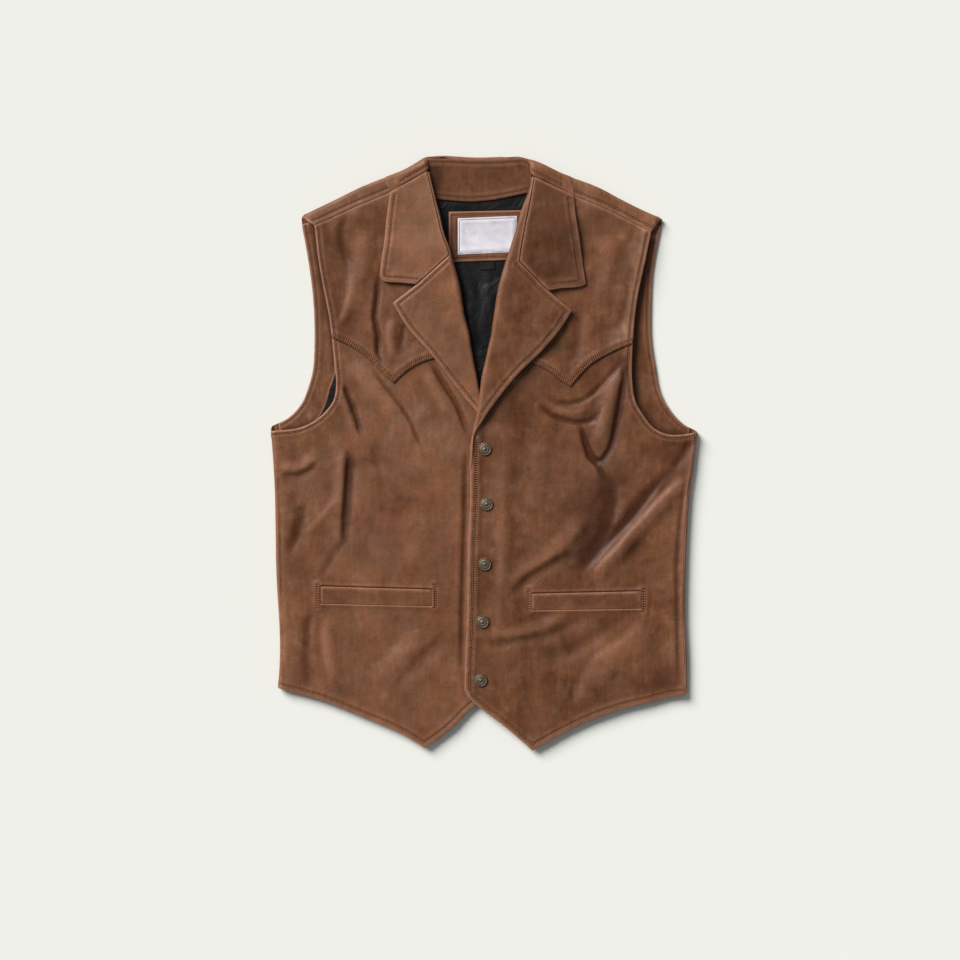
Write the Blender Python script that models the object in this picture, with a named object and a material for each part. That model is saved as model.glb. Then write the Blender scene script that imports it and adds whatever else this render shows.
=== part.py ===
"""Leather vest with notched lapels, pointed yokes and five snaps, laid on its back and closed.

Each sheet starts as a flat outline that lies where the sheet will lie. Its points are lifted to the
sheet's height, with folds, and those past a border are rolled round it, as at a shoulder or a lapel.
Sheets that lie on each other share their points in plan, so that they never cross.
Lengths are in millimetres, x to the wearer's left, y to the neck and z up, until a mesh is written.
"""

import math
from collections import namedtuple

import bmesh
import bpy
import numpy as np
from mathutils import Vector
from mathutils.geometry import delaunay_2d_cdt

MM = 0.001

# The middle of the vest's outline on these drawing axes, which becomes the origin
MIDDLE_X = 0.1
MIDDLE_Y = -2.5

# Walls and seams
LEATHER = 1.6
DOUBLED_LEATHER = 2.6
LINING = 1.0
PATCH = 1.2
SEAM = 0.3
LAY = SEAM + LEATHER
COLLAR_CLEAR = 1.2

# Heights of the fronts
FRONT_TOP = 8.5
LOWEST_FRONT_TOP = 5.0

# Rolls, by their outer radius
SIDE_RADIUS = 5.5
SHOULDER_RADIUS = 5.0
NECK_RADIUS = 6.0
SIDE_TURN = {"left": math.radians(153), "right": math.radians(90)}
NECK_TURN_AT_SHOULDER = math.radians(90)
NECK_TURN_BEHIND = math.radians(165)
NECK_TURN_FROM, NECK_TURN_TO = 0.12, 0.3
BACK_NECK_EDGE = 14.0

# The back collar lies under the back, which it raises
RAISE = DOUBLED_LEATHER + COLLAR_CLEAR
RAISE_FROM_Y, RAISE_TO_Y = 264.0, 300.0
RAISE_FROM_X, RAISE_TO_X = 186.0, 134.0

# Overlaps
YOKE_ALLOWANCE = 10.0
YOKE_FADE = 34.0
CLOSURE_CLEAR = 6.0
CLOSURE_FADE = 40.0
NECK_EDGE = 5.3
FACING_WIDTH = {"left": 27.0, "right": 22.0}
LINING_INSET = 8.0
LINING_TOP = 346.0
LINING_BOTTOM = -274.0
LINING_NECK = (-56.0, 48.0)
LINING_CORNER = 4.0
FACING_END = 2.0
BAND_SAG = 1.3
LAPEL_LOW_END = {"left": -2.0, "right": 17.0}

# Spacing of points
LATTICE = 15.5
COARSE_LATTICE = 46.0
SAMPLE = 12.0
COARSE_SAMPLE = 24.0
ROLL_STEP = math.radians(30)
GUIDE_EXTENSION = 12.0

# Lines seen from above, each smooth, as (x, y)
SIDE = {
    "left": ((260, 24), (255, -20), (251, -48), (247, -107), (245, -170), (245, -207), (247, -250),
             (247, -296)),
    "right": ((-260, 28), (-257, -10), (-255, -48), (-254, -95), (-253, -149), (-249, -221),
              (-249, -256), (-251, -288)),
}
HEM = {
    "left": ((247, -296), (225, -299), (206, -304), (169, -313), (132, -326), (94, -344), (59, -364)),
    "right": ((-251, -288), (-225, -295), (-200, -302), (-152, -321), (-103, -342), (-72, -361)),
}
HEM_POINT = {
    "left": ((59, -364), (27, -336), (-7, -310), (-18, -300), (-24, -290)),
    "right": ((-72, -361), (-42, -339), (-18, -315), (-8, -307), (13, -291)),
}
FRONT_EDGE = {
    "left": ((-24, -290), (-23, -254), (-21, -205), (-19, -101), (-17, -59), (-17, -10), (-16, 14)),
    "right": ((13, -291), (14, -150), (15, 12)),
}
FRONT_ARMHOLE = {
    "left": ((203, 266), (196, 232), (186, 185), (181, 136), (180, 87), (184, 61), (193, 45), (206, 29),
             (223, 21), (243, 21), (260, 24)),
    "right": ((-206, 274), (-202, 237), (-196, 202), (-188, 161), (-182, 106), (-180, 81), (-183, 63),
              (-191, 51), (-204, 39), (-225, 29), (-258, 25)),
}
BACK_ARMHOLE = {
    "left": ((218, 284), (213, 260), (206, 218), (204, 185), (204, 139), (209, 104), (215, 73),
             (227, 51), (243, 34), (262, 24)),
    "right": ((-223, 287), (-221.5, 272), (-219, 259), (-214, 230), (-210, 201), (-207.5, 171),
              (-207, 127), (-209, 99), (-214, 80), (-222, 60), (-238, 42), (-262, 30)),
}
SHOULDER_FOLD = {
    "left": ((59, 351), (103, 336), (138, 322), (170, 305.5), (199, 291.5), (219, 283)),
    "right": ((-71, 355), (-101, 341), (-126, 331.5), (-152, 321), (-181, 307), (-210, 293),
              (-223, 286.5)),
}
SHOULDER_SEAM = {
    "left": ((56, 336), (107, 312), (141, 298), (165, 287), (203, 267)),
    "right": ((-66, 342), (-113, 316), (-160, 296), (-207, 275)),
}
YOKE_EDGE = {
    "left": ((181, 131), (165, 125), (141, 113), (128, 104), (105, 79)),
    "right": ((-185, 138), (-164, 129), (-139, 111), (-127, 98), (-110, 83)),
}
YOKE_EDGE_INNER = {
    "left": ((105, 79), (92, 87), (80, 97), (58, 108), (11, 124)),
    "right": ((-110, 83), (-103, 90), (-91, 100), (-79, 107), (-65, 112), (-20, 122)),
}
LAPEL_ROLL = {
    "left": ((-16, 14), (-9, 45), (-1, 100), (9, 148), (19, 203), (30, 246), (41, 288), (50, 316),
             (56, 336)),
    "right": ((15, 12), (3, 40), (-6, 75), (-15, 130), (-26, 179), (-36, 227), (-48, 264), (-55, 294),
              (-61, 319), (-66, 341)),
}
LAPEL_EDGE = {
    "left": ((106, 170), (92, 148), (68, 120), (43, 96), (19, 67), (-5, 33), (-12, 21)),
    "right": ((-110, 178), (-91, 148), (-66, 120), (-42, 89), (-18, 59), (-6, 45)),
}
COLLAR_GROOVE = {
    "left": ((59, 334.2), (55, 307), (49, 276), (44, 246), (43, 231)),
    "right": ((-69, 340.1), (-64, 319), (-58, 294), (-51, 264), (-44, 246), (-42, 239)),
}
GORGE = {
    "left": ((43, 231), (74, 199)),
    "right": ((-42, 239), (-82, 203)),
}
NOTCH = {
    "left": ((74, 199), (106, 172), (106, 170)),
    "right": ((-82, 203), (-107, 184), (-111, 181), (-110, 178)),
}
COLLAR_BOTTOM = {
    "left": ((74, 199), (79, 196), (92, 198), (120, 201), (124, 204)),
    "right": ((-82, 203), (-103, 205), (-122, 207), (-127, 213)),
}
COLLAR_EDGE = {
    "left": ((124, 204), (121, 221), (116, 258), (111, 288), (109, 311)),
    "right": ((-127, 213), (-125, 231), (-121, 258), (-118, 288), (-114, 316)),
}
COLLAR_BACK_EDGE = {
    "left": ((109, 311), (109, 322), (103, 335)),
    "right": ((-114, 316), (-120, 326), (-125, 332)),
}
NECK_ROLL = ((-69, 360), (-40, 359), (-10, 358), (25, 359), (48, 360), (57, 357))
COLLAR_UNDER = ((-116, 318), (-60, 308), (0, 306), (55, 307), (96, 320))
NECK_BAND_TOP = ((-62, 353.5), (-20, 352), (30, 352.4), (48, 352))
NECK_BAND_LOW = ((47, 313), (9, 306), (-20, 304), (-52, 307))
BACK_HEM = ((-251, -287), (-120, -290), (0, -292), (120, -293), (247, -295))
WELT = {
    "left": ((58, -173), (191, -170), (191, -191), (58, -193)),
    "right": ((-199, -164), (-63, -168), (-63, -188), (-199, -185)),
}
PATCH_CORNERS = ((-43, 292), (48, 294), (47, 234), (-43, 231))
LABEL_CORNERS = ((-32, 284), (40, 287), (40, 243), (-32, 240))
TAB_CORNERS = ((-5, 230.5), (13, 231), (13, 222), (-5, 221.5))
SNAPS = ((1, 3), (3, -64), (1, -137), (-2, -207), (-4, -278))
SNAP_SEAT = 9.5

# The snap caps, as (radius, level), and their crown's height
SNAP_PROFILE = ((7.0, 0.0), (8.0, 0.6), (8.0, 1.3), (7.2, 1.9), (6.3, 1.7), (5.2, 2.4), (2.8, 2.8))
SNAP_HEIGHT = 3.0
SNAP_SIDES = 16

# Finishes: the colour, the roughness and how metallic it is
FINISHES = {
    "leather": ((0.21, 0.085, 0.04), 0.55, 0.0),
    "lining": ((0.012, 0.012, 0.014), 0.6, 0.0),
    "label": ((0.75, 0.73, 0.78), 0.8, 0.0),
    "snap": ((0.16, 0.12, 0.09), 0.4, 1.0),
}

# Soft swellings of the fronts beside their borders: the line, its reach inwards and its height
Swelling = namedtuple("Swelling", "line side reach height")
SWELLINGS = (
    Swelling(SIDE, "left", 36, 2.5),
    Swelling(SIDE, "right", 36, 2.5),
    Swelling(SHOULDER_SEAM, "left", 55, 1.5),
    Swelling(SHOULDER_SEAM, "right", 55, 1.5),
    Swelling(FRONT_ARMHOLE, "left", 34, 3.4),
    Swelling(FRONT_ARMHOLE, "right", 30, 2.6),
    Swelling(HEM, "left", 22, 0.8),
    Swelling(HEM, "right", 22, 0.8),
)

# Folds of the fronts: a curve through three points, its half width, and its height or depth
Fold = namedtuple("Fold", "x1 y1 x2 y2 x3 y3 width height")
FRONT_FOLDS = (
    Fold(-161, -4, -164, -55, -171, -112, 9, -4.0),
    Fold(-176, 4, -179, -20, -182, -50, 12, 1.8),
    Fold(-152, -50, -156, -90, -161, -128, 14, 2.0),
    Fold(-167, 82, -158, 45, -150, 14, 9, -3.0),
    Fold(-179, 70, -170, 40, -164, 12, 10, 2.0),
    Fold(-148, 108, -121, 81, -86, 30, 10, -2.5),
    Fold(-175, 134, -146, 94, -100, 48, 16, 3.0),
    Fold(-66, 106, -44, 73, -22, 36, 9, -3.0),
    Fold(-88, 95, -70, 65, -50, 30, 14, 1.6),
    Fold(-130, 203, -132, 160, -125, 112, 10, -3.0),
    Fold(-100, 158, -100, 140, -101, 118, 9, -2.0),
    Fold(-115, 162, -114, 140, -112, 106, 10, 1.6),
    Fold(-138, 282, -154, 221, -172, 168, 17, 2.6),
    Fold(-164, 292, -182, 258, -189, 225, 13, -2.0),
    Fold(-123, 292, -129, 233, -134, 182, 13, -2.0),
    Fold(-255, -32, -225, -33, -196, 0, 9, -2.5),
    Fold(-240, -10, -218, -10, -198, 14, 11, 2.0),
    Fold(-223, -58, -235, -95, -246, -132, 14, -2.5),
    Fold(-166, -108, -182, -130, -198, -152, 11, -1.6),
    Fold(-38, -224, -85, -263, -126, -308, 16, -2.0),
    Fold(-72, -234, -109, -268, -152, -302, 15, 2.0),
    Fold(-225, -222, -217, -256, -212, -292, 15, -2.0),
    Fold(-188, -222, -181, -256, -168, -286, 13, 2.0),
    Fold(-34, -98, -35, -180, -31, -262, 12, -1.5),
    Fold(-132, -40, -122, -110, -112, -150, 38, 1.6),
    Fold(246, -40, 178, -86, 124, -164, 12, 6.0),
    Fold(196, -50, 141, -107, 102, -160, 15, -3.6),
    Fold(240, -60, 225, -66, 208, -84, 11, 2.0),
    Fold(200, -96, 180, -115, 160, -132, 12, -2.6),
    Fold(244, 2, 222, -22, 200, -52, 11, -2.6),
    Fold(176, 114, 147, 63, 141, -8, 13, 5.0),
    Fold(168, 84, 165, 27, 142, -16, 9, -3.6),
    Fold(124, 22, 130, -8, 142, -34, 9, -3.0),
    Fold(88, 66, 128, 54, 156, 92, 8, -2.0),
    Fold(88, 42, 128, 27, 139, 54, 8, -1.8),
    Fold(122, -64, 74, -120, 20, -186, 13, 2.6),
    Fold(98, -126, 68, -152, 38, -176, 11, -2.0),
    Fold(20, -233, 52, -238, 132, -190, 10, -2.4),
    Fold(88, -250, 141, -238, 192, -202, 12, -2.0),
    Fold(106, -310, 135, -250, 200, -220, 14, 2.6),
    Fold(92, -308, 98, -278, 104, -250, 11, -1.5),
    Fold(50, -248, 52, -290, 54, -332, 18, -1.6),
    Fold(234, -76, 233, -144, 235, -212, 9, -1.5),
    Fold(60, 0, 62, -40, 58, -80, 30, 1.2),
    Fold(-34, 84, -12, 58, 12, 20, 24, -1.4),
)

# Wrinkles of the lining in the neck opening
LINING_FOLDS = (
    Fold(-30, 222, -14, 190, -10, 150, 12, 1.6),
    Fold(6, 226, 2, 180, -4, 130, 11, 1.8),
    Fold(22, 216, 12, 190, 2, 160, 10, 1.2),
    Fold(-24, 190, -16, 160, -12, 120, 9, 1.2),
)

# The turned-back lapel and collar from the break up to the shoulder: the share of the way along the roll,
# the height there, its rise per millimetre outwards, and the roll's radius and turn in degrees
TurnStation = namedtuple("TurnStation", "run top rise radius turn")
SEAM_TOP = 2 * (SHOULDER_RADIUS + RAISE)
TURN_STATIONS = {
    "left": (
        TurnStation(0.00, 13.6, 0.00, 3.2, 80),
        TurnStation(0.10, 15.9, 0.02, 4.0, 95),
        TurnStation(0.17, 16.8, 0.03, 4.4, 105),
        TurnStation(0.35, 18.0, 0.04, 5.0, 172),
        TurnStation(0.70, 19.6, 0.012, 5.0, 172),
        TurnStation(1.00, SEAM_TOP, 0.00, 5.0, 172),
    ),
    "right": (
        TurnStation(0.00, 10.6, 0.00, 3.2, 120),
        TurnStation(0.18, 10.8, 0.00, 3.2, 120),
        TurnStation(0.30, 14.0, -0.005, 4.4, 150),
        TurnStation(0.45, 16.6, -0.012, 5.0, 172),
        TurnStation(0.70, 19.6, -0.03, 5.0, 172),
        TurnStation(1.00, SEAM_TOP, 0.00, 5.0, 172),
    ),
}


def blend(first, last, start, end, at):
    """The value at a place between start and end, on a straight run from first to last."""
    return first + (last - first) * (at - start) / (end - start)


def smooth(points, step=SAMPLE):
    """Points along a smooth curve through the given ones, about a step apart."""
    given = np.array(points, float)
    before = 2 * given[0] - given[1]
    after = 2 * given[-1] - given[-2]
    padded = np.vstack((before, given, after))
    found = [given[0]]
    for a, b, c, d in zip(padded, padded[1:], padded[2:], padded[3:]):
        knots = [0.0]
        for start, end in ((a, b), (b, c), (c, d)):
            knots.append(knots[-1] + max(np.linalg.norm(end - start), 1e-6) ** 0.5)
        pieces = max(1, round(np.linalg.norm(c - b) / step))
        for part in range(1, pieces + 1):
            at = knots[1] + (knots[2] - knots[1]) * part / pieces
            ab = blend(a, b, knots[0], knots[1], at)
            bc = blend(b, c, knots[1], knots[2], at)
            cd = blend(c, d, knots[2], knots[3], at)
            abc = blend(ab, bc, knots[0], knots[2], at)
            bcd = blend(bc, cd, knots[1], knots[3], at)
            found.append(blend(abc, bcd, knots[1], knots[2], at))
    return np.array(found)


def straight(points, step=SAMPLE):
    """Points along straight runs between the given ones, about a step apart."""
    given = np.array(points, float)
    found = [given[0]]
    for a, b in zip(given, given[1:]):
        pieces = max(1, round(np.linalg.norm(b - a) / step))
        found.extend(a + (b - a) * part / pieces for part in range(1, pieces + 1))
    return np.array(found)


def left_normals(line):
    """The direction to the left of an open line at each of its points."""
    run = np.gradient(line, axis=0)
    run /= np.linalg.norm(run, axis=1, keepdims=True)
    return np.column_stack((-run[:, 1], run[:, 0]))


def moved(line, distance):
    """The line moved to its left by a distance, or by one distance for each point."""
    return line + left_normals(line) * np.reshape(distance, (-1, 1))


def stretch(line, start, end):
    """The samples of a line from the one nearest start to the one nearest end."""
    first = np.argmin(np.linalg.norm(line - start, axis=1))
    last = np.argmin(np.linalg.norm(line - end, axis=1))
    if first <= last:
        return line[first:last + 1]
    return line[last:first + 1][::-1]


def clipped(line, clear):
    """The stretch of a line where a function of its points is positive, ending where that is zero."""
    values = clear(line)
    found = []
    for number, (point, value) in enumerate(zip(line, values)):
        if number and (values[number - 1] > 0) != (value > 0):
            share = values[number - 1] / (values[number - 1] - value)
            found.append(line[number - 1] + (point - line[number - 1]) * share)
        if value > 0:
            found.append(point)
    return np.array(found)


def ring(*lines):
    """Lines joined end to end into a closed outline, anticlockwise and without doubled points."""
    points = np.vstack(lines)
    far = np.linalg.norm(points - np.roll(points, 1, axis=0), axis=1) > SAMPLE / 6
    points = points[far]
    x, y = points.T
    area = (x * np.roll(y, -1) - y * np.roll(x, -1)).sum()
    return points if area > 0 else points[::-1]


def nearest(points, line):
    """For each point: distance to the line, side (1 on its left), foot, and run along it from 0 to 1."""
    starts = line[:-1]
    runs = line[1:] - starts
    lengths = np.linalg.norm(runs, axis=1)
    offsets = points[:, None] - starts[None]
    along = np.clip((offsets * runs[None]).sum(2) / lengths ** 2, 0, 1)
    feet = starts[None] + runs[None] * along[..., None]
    gaps = np.linalg.norm(points[:, None] - feet, axis=2)
    best = gaps.argmin(1)
    rows = np.arange(len(points))
    cross = runs[best, 0] * offsets[rows, best, 1] - runs[best, 1] * offsets[rows, best, 0]
    before = np.concatenate(([0], np.cumsum(lengths)[:-1]))
    run = (before[best] + along[rows, best] * lengths[best]) / lengths.sum()
    return gaps[rows, best], np.where(cross >= 0, 1.0, -1.0), feet[rows, best], run


def fade(value, start, end):
    """0 at start and before it, 1 at end and past it, and smooth between them."""
    t = np.clip((value - start) / (end - start), 0, 1)
    return t * t * (3 - 2 * t)


def folded(points, folds):
    """The sum of the folds' heights at each point."""
    height = np.zeros(len(points))
    for fold in folds:
        line = smooth(((fold.x1, fold.y1), (fold.x2, fold.y2), (fold.x3, fold.y3)), SAMPLE)
        gap, _, _, run = nearest(points, line)
        across = 0.5 + 0.5 * np.cos(np.pi * np.clip(gap / fold.width, 0, 1))
        height += fold.height * across * fade(run, 0, 0.3) * fade(run, 1, 0.7)
    return height


def oriented(line, inner_point):
    """The line, turned round if need be, so that the inner point lies to its left."""
    _, side, _, _ = nearest(np.array([inner_point], float), line)
    return line if side[0] > 0 else line[::-1]


class Border:
    """A line where a sheet rolls over, with the sheet to its left, and the roll's outer radius along it."""

    def __init__(self, points, radius, inner_point, extend=40.0):
        line = oriented(smooth(points), inner_point)
        first = line[0] + (line[0] - line[1]) / np.linalg.norm(line[0] - line[1]) * extend
        last = line[-1] + (line[-1] - line[-2]) / np.linalg.norm(line[-1] - line[-2]) * extend
        self.edge = line
        self.line = np.vstack((first, line, last))
        a_little = GUIDE_EXTENSION / extend
        self.guide = np.vstack((
            line[0] + (first - line[0]) * a_little, line, line[-1] + (last - line[-1]) * a_little,
        ))
        self.length = np.linalg.norm(np.diff(line, axis=0), axis=1).sum()
        self.extend = extend
        self.upwards = line[-1][1] > line[0][1]
        self.stations = np.array(radius if np.ndim(radius) else ((0, radius), (1, radius)), float)

    def measure(self, points):
        """For each point: its distance inside the line, its foot, and its run from the low end, 0 to 1."""
        gap, side, feet, run = nearest(points, self.line)
        along = (run * (self.length + 2 * self.extend) - self.extend) / self.length
        along = np.clip(along, 0, 1)
        return gap * side, feet, along if self.upwards else 1 - along

    def radius_at(self, run):
        """The roll's outer radius at a run."""
        return np.interp(run, self.stations[:, 0], self.stations[:, 1])

    def roll(self, points, outer, depth, sense):
        """Points at a depth below a sheet's outer face, rolled. sense is 1 if the sheet rolls downwards."""
        inside, feet, run = self.measure(points)
        radius = self.radius_at(run)
        past = radius - inside
        turn = np.clip(past / radius, 0, np.pi)
        beyond = np.maximum(past - np.pi * radius, 0)
        inwards = (points - feet) / np.where(abs(inside) < 1e-6, 1e-6, inside)[:, None]
        reach = radius - (radius - depth) * np.sin(turn) + beyond
        flat = (past <= 0)
        placed = np.where(flat[:, None], points, feet + inwards * reach[:, None])
        curved = outer - sense * (radius - (radius - depth) * np.cos(turn))
        return placed, np.where(flat, outer - sense * depth, curved)

    def unroll(self, points):
        """Where points of the sheet's far layer, past the roll, lie in the flat outline."""
        inside, feet, run = self.measure(points)
        radius = self.radius_at(run)
        inwards = (points - feet) / inside[:, None]
        return feet - inwards * (np.pi * radius + inside - 2 * radius)[:, None]

    def outside(self, turn, line=None):
        """The line in the flat outline where the roll has turned by an angle, or by one for each run."""
        line = self.edge if line is None else line
        _, _, run = self.measure(line)
        turned = turn(run) if callable(turn) else turn
        return moved(line, self.radius_at(run) * (1 - turned))

    def guides(self, most_turn, every=2):
        """Lines in the flat outline where the roll has turned by each step."""
        line = np.vstack((self.guide[:-1:every], self.guide[-1:]))
        return [self.outside(turn, line) for turn in np.arange(0, most_turn, ROLL_STEP)]


CHEST = (0.0, 0.0)
TURNED_MIDDLE = {"left": (80, 180), "right": (-80, 180)}
SIDE_BORDER = {side: Border(SIDE[side], SIDE_RADIUS, CHEST) for side in SIDE}
SHOULDER_BORDER = {side: Border(SHOULDER_FOLD[side], SHOULDER_RADIUS, CHEST) for side in SIDE}
TURN_BORDER = {
    side: Border(
        LAPEL_ROLL[side], [(row.run, row.radius) for row in TURN_STATIONS[side]], TURNED_MIDDLE[side],
    )
    for side in SIDE
}


def raised(points):
    """How far the back collar lifts what lies over it."""
    up = np.clip((points[:, 1] - RAISE_FROM_Y) / (RAISE_TO_Y - RAISE_FROM_Y), 0, 1)
    across = np.clip((RAISE_FROM_X - abs(points[:, 0])) / (RAISE_FROM_X - RAISE_TO_X), 0, 1)
    return RAISE * up * across


def front_height(points):
    """Height of the outer face of the lower layer of the fronts."""
    swollen = np.zeros(len(points))
    for swelling in SWELLINGS:
        gap, _, _, _ = nearest(points, smooth(swelling.line[swelling.side]))
        swollen = np.maximum(swollen, swelling.height * fade(gap, swelling.reach, 0))
    top = FRONT_TOP + swollen + folded(points, FRONT_FOLDS)
    for centre in SNAPS:
        away = np.linalg.norm(points - centre, axis=1)
        top += (FRONT_TOP - top) * fade(away, SNAP_SEAT * 2, SNAP_SEAT)
    return np.maximum(top, LOWEST_FRONT_TOP) + raised(points)


def closure_lift(x):
    """How far the left front is lifted where it laps over the right one."""
    under_edge = max(x for x, _ in FRONT_EDGE["right"])
    return LAY * fade(x, under_edge + CLOSURE_FADE, under_edge + CLOSURE_CLEAR)


def yoke_lift(points, side):
    """How far a yoke is lifted where it laps over the front below it."""
    edge = np.vstack((YOKE_EDGE[side], YOKE_EDGE_INNER[side])).astype(float)
    edge = edge[np.argsort(edge[:, 0])]
    above = points[:, 1] - np.interp(points[:, 0], edge[:, 0], edge[:, 1])
    return LAY * fade(above, YOKE_FADE, YOKE_ALLOWANCE + 1)


def turned_at(side, run, column):
    """A column of the turned-back lapel's table at a run."""
    rows = TURN_STATIONS[side]
    return np.interp(run, [row.run for row in rows], [getattr(row, column) for row in rows])


def turned_height(points, side):
    """Height of the outer face of a lapel and its collar leaf."""
    inside, _, run = TURN_BORDER[side].measure(points)
    rise = turned_at(side, run, "rise") * np.maximum(inside - TURN_BORDER[side].radius_at(run), 0)
    return turned_at(side, run, "top") + rise


def lining_height(points):
    """Height of the lining's upper face."""
    return LEATHER + SEAM + LINING + np.maximum(folded(points, LINING_FOLDS), 0) + raised(points)


def place_front(lift):
    """A way to place points of a front sheet, lifted by a function of the points."""

    def place(points, depth):
        top = front_height(points) + lift(points)
        placed = points
        height = top - depth
        for border in SIDE_BORDER.values():
            inside, _, run = border.measure(points)
            near = inside < border.radius_at(run)
            rolled, rolled_height = border.roll(points, top, depth, 1)
            placed = np.where(near[:, None], rolled, placed)
            height = np.where(near, rolled_height, height)
        return placed, height

    return place


def place_turned(side):
    """A way to place points of a lapel or a collar leaf."""

    def place(points, depth):
        return TURN_BORDER[side].roll(points, turned_height(points, side), depth, 1)

    return place


def place_back(points, depth):
    """Points of the back: its outer face is its underside."""
    level = np.full(len(points), float(depth))
    for border in (*SHOULDER_BORDER.values(), *SIDE_BORDER.values()):
        points, level = border.roll(points, 0.0, level, -1)
    return points, level + raised(points)


def place_collar_back(points, depth):
    """Points of the back collar, which rolls over at the neck and lies outside the back."""
    lowest = -DOUBLED_LEATHER - COLLAR_CLEAR
    points, level = NECK_BORDER.roll(points, lowest, depth, -1)
    for border in SHOULDER_BORDER.values():
        points, level = border.roll(points, 0.0, level, -1)
    return points, level + raised(points)


def place_in_back(thickness):
    """A way to place points of a sheet of a thickness that lies on the back's inner face."""

    def place(points, depth):
        return points, LEATHER + SEAM + thickness - depth + raised(points)

    return place


def place_on_lining(thickness, below=0.0):
    """A way to place points of a sheet of a thickness over the lining, with what is below it."""

    def place(points, depth):
        return points, lining_height(points) + below + SEAM + thickness - depth

    return place


def place_lining(points, depth):
    """Points of the lining."""
    return points, lining_height(points) - depth


def place_neck_band(points, depth):
    """Points of the neck band, which slopes from the collar's roll down to the lining."""
    low = min(y for _, y in NECK_BAND_LOW)
    high = max(y for _, y in NECK_BAND_TOP)
    share = (points[:, 1] - low) / (high - low)
    bottom = lining_height(points) + LAY
    return points, bottom + (2 * NECK_RADIUS - bottom) * share ** BAND_SAG - depth


def seam_on_back(side):
    """The shoulder seam in the back's flat outline, from the neck out, half a seam gap short of it."""
    seam = oriented(smooth(SHOULDER_SEAM[side]), CHEST)
    seam = SHOULDER_BORDER[side].unroll(moved(seam, -SEAM / 2))
    return seam if abs(seam[0][0]) < abs(seam[-1][0]) else seam[::-1]


def neck_border():
    """The line in the back's flat outline where the collar folds over behind the neck."""
    ends = {side: seam_on_back(side)[0] for side in SIDE}
    return Border((ends["left"], *NECK_ROLL[::-1], ends["right"]), NECK_RADIUS, CHEST, extend=12.0)


NECK_BORDER = neck_border()


def triangulated(rings, guides, spacing):
    """One triangulation shared by named outlines: its points, and each outline's own triangles."""
    corners = []
    edges = []
    faces = []
    for outline in rings.values():
        faces.append(list(range(len(corners), len(corners) + len(outline))))
        corners.extend(outline)
    for guide in guides:
        start = len(corners)
        corners.extend(guide)
        edges.extend((start + k, start + k + 1) for k in range(len(guide) - 1))
    fixed = np.array(corners)
    corners.extend(lattice(rings, fixed, spacing))
    flat = [Vector(point) for point in corners]
    points, _, triangles, _, _, origins = delaunay_2d_cdt(flat, edges, faces, 0, 1e-4)
    points = np.array([tuple(point) for point in points])
    names = list(rings)
    chosen = {name: [] for name in names}
    for triangle, sources in zip(triangles, origins):
        for source in sources:
            chosen[names[source]].append(triangle)
    return points, chosen


def lattice(rings, fixed, spacing):
    """Points of a triangular lattice inside any of the outlines, clear of the fixed points."""
    low = np.min([outline.min(0) for outline in rings.values()], axis=0)
    high = np.max([outline.max(0) for outline in rings.values()], axis=0)
    rows = np.arange(low[1], high[1], spacing * math.sqrt(3) / 2)
    found = []
    for number, y in enumerate(rows):
        xs = np.arange(low[0] + spacing / 2 * (number % 2), high[0], spacing)
        found.append(np.column_stack((xs, np.full(len(xs), y))))
    found = np.vstack(found)
    inside = np.any([within(found, outline) for outline in rings.values()], axis=0)
    found = found[inside]
    gaps = np.array([np.linalg.norm(fixed - point, axis=1).min() for point in found])
    return found[gaps > spacing * 0.55]


def within(points, outline):
    """True for each point inside a closed outline."""
    result = np.zeros(len(points), bool)
    for a, b in zip(outline, np.roll(outline, -1, axis=0)):
        crosses = (a[1] > points[:, 1]) != (b[1] > points[:, 1])
        if a[1] == b[1]:
            continue
        at = a[0] + (points[:, 1] - a[1]) / (b[1] - a[1]) * (b[0] - a[0])
        result ^= crosses & (points[:, 0] < at)
    return result


def material(name, colour, roughness, metallic):
    """A plain Principled material."""
    made = bpy.data.materials.new(name)
    made.use_nodes = True
    shader = made.node_tree.nodes["Principled BSDF"]
    shader.inputs["Base Color"].default_value = (*colour, 1.0)
    shader.inputs["Roughness"].default_value = roughness
    shader.inputs["Metallic"].default_value = metallic
    return made


def add_object(name, mesh, finish):
    """A named object with one material, under the vest's empty."""
    mesh.materials.append(finish)
    made = bpy.data.objects.new(name, mesh)
    bpy.context.scene.collection.objects.link(made)
    made.parent = bpy.data.objects["vest"]
    return made


def wall(name, points, triangles, place, thickness, finish):
    """A closed wall: its outer and inner face from the same flat triangles, and the rim between them."""
    used = sorted({corner for triangle in triangles for corner in triangle})
    row = {corner: number for number, corner in enumerate(used)}
    flat = points[used]
    outer, outer_height = place(flat, 0.0)
    inner, inner_height = place(flat, thickness)
    corners = np.vstack((np.column_stack((outer, outer_height)), np.column_stack((inner, inner_height))))
    corners = (corners - (MIDDLE_X, MIDDLE_Y, 0)) * MM
    count = len(used)
    faces = []
    border = set()
    for triangle in triangles:
        a, b, c = (row[corner] for corner in triangle)
        faces.append((a, b, c))
        faces.append((c + count, b + count, a + count))
        for edge in ((a, b), (b, c), (c, a)):
            if edge[::-1] in border:
                border.remove(edge[::-1])
            else:
                border.add(edge)
    faces.extend((b, a, a + count, b + count) for a, b in sorted(border))
    mesh = bpy.data.meshes.new(name)
    mesh.from_pydata(corners.tolist(), [], faces)
    built = bmesh.new()
    built.from_mesh(mesh)
    bmesh.ops.recalc_face_normals(built, faces=built.faces)
    built.to_mesh(mesh)
    built.free()
    for polygon in mesh.polygons:
        polygon.use_smooth = len(polygon.vertices) == 3
    return add_object(name, mesh, finish)


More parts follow.
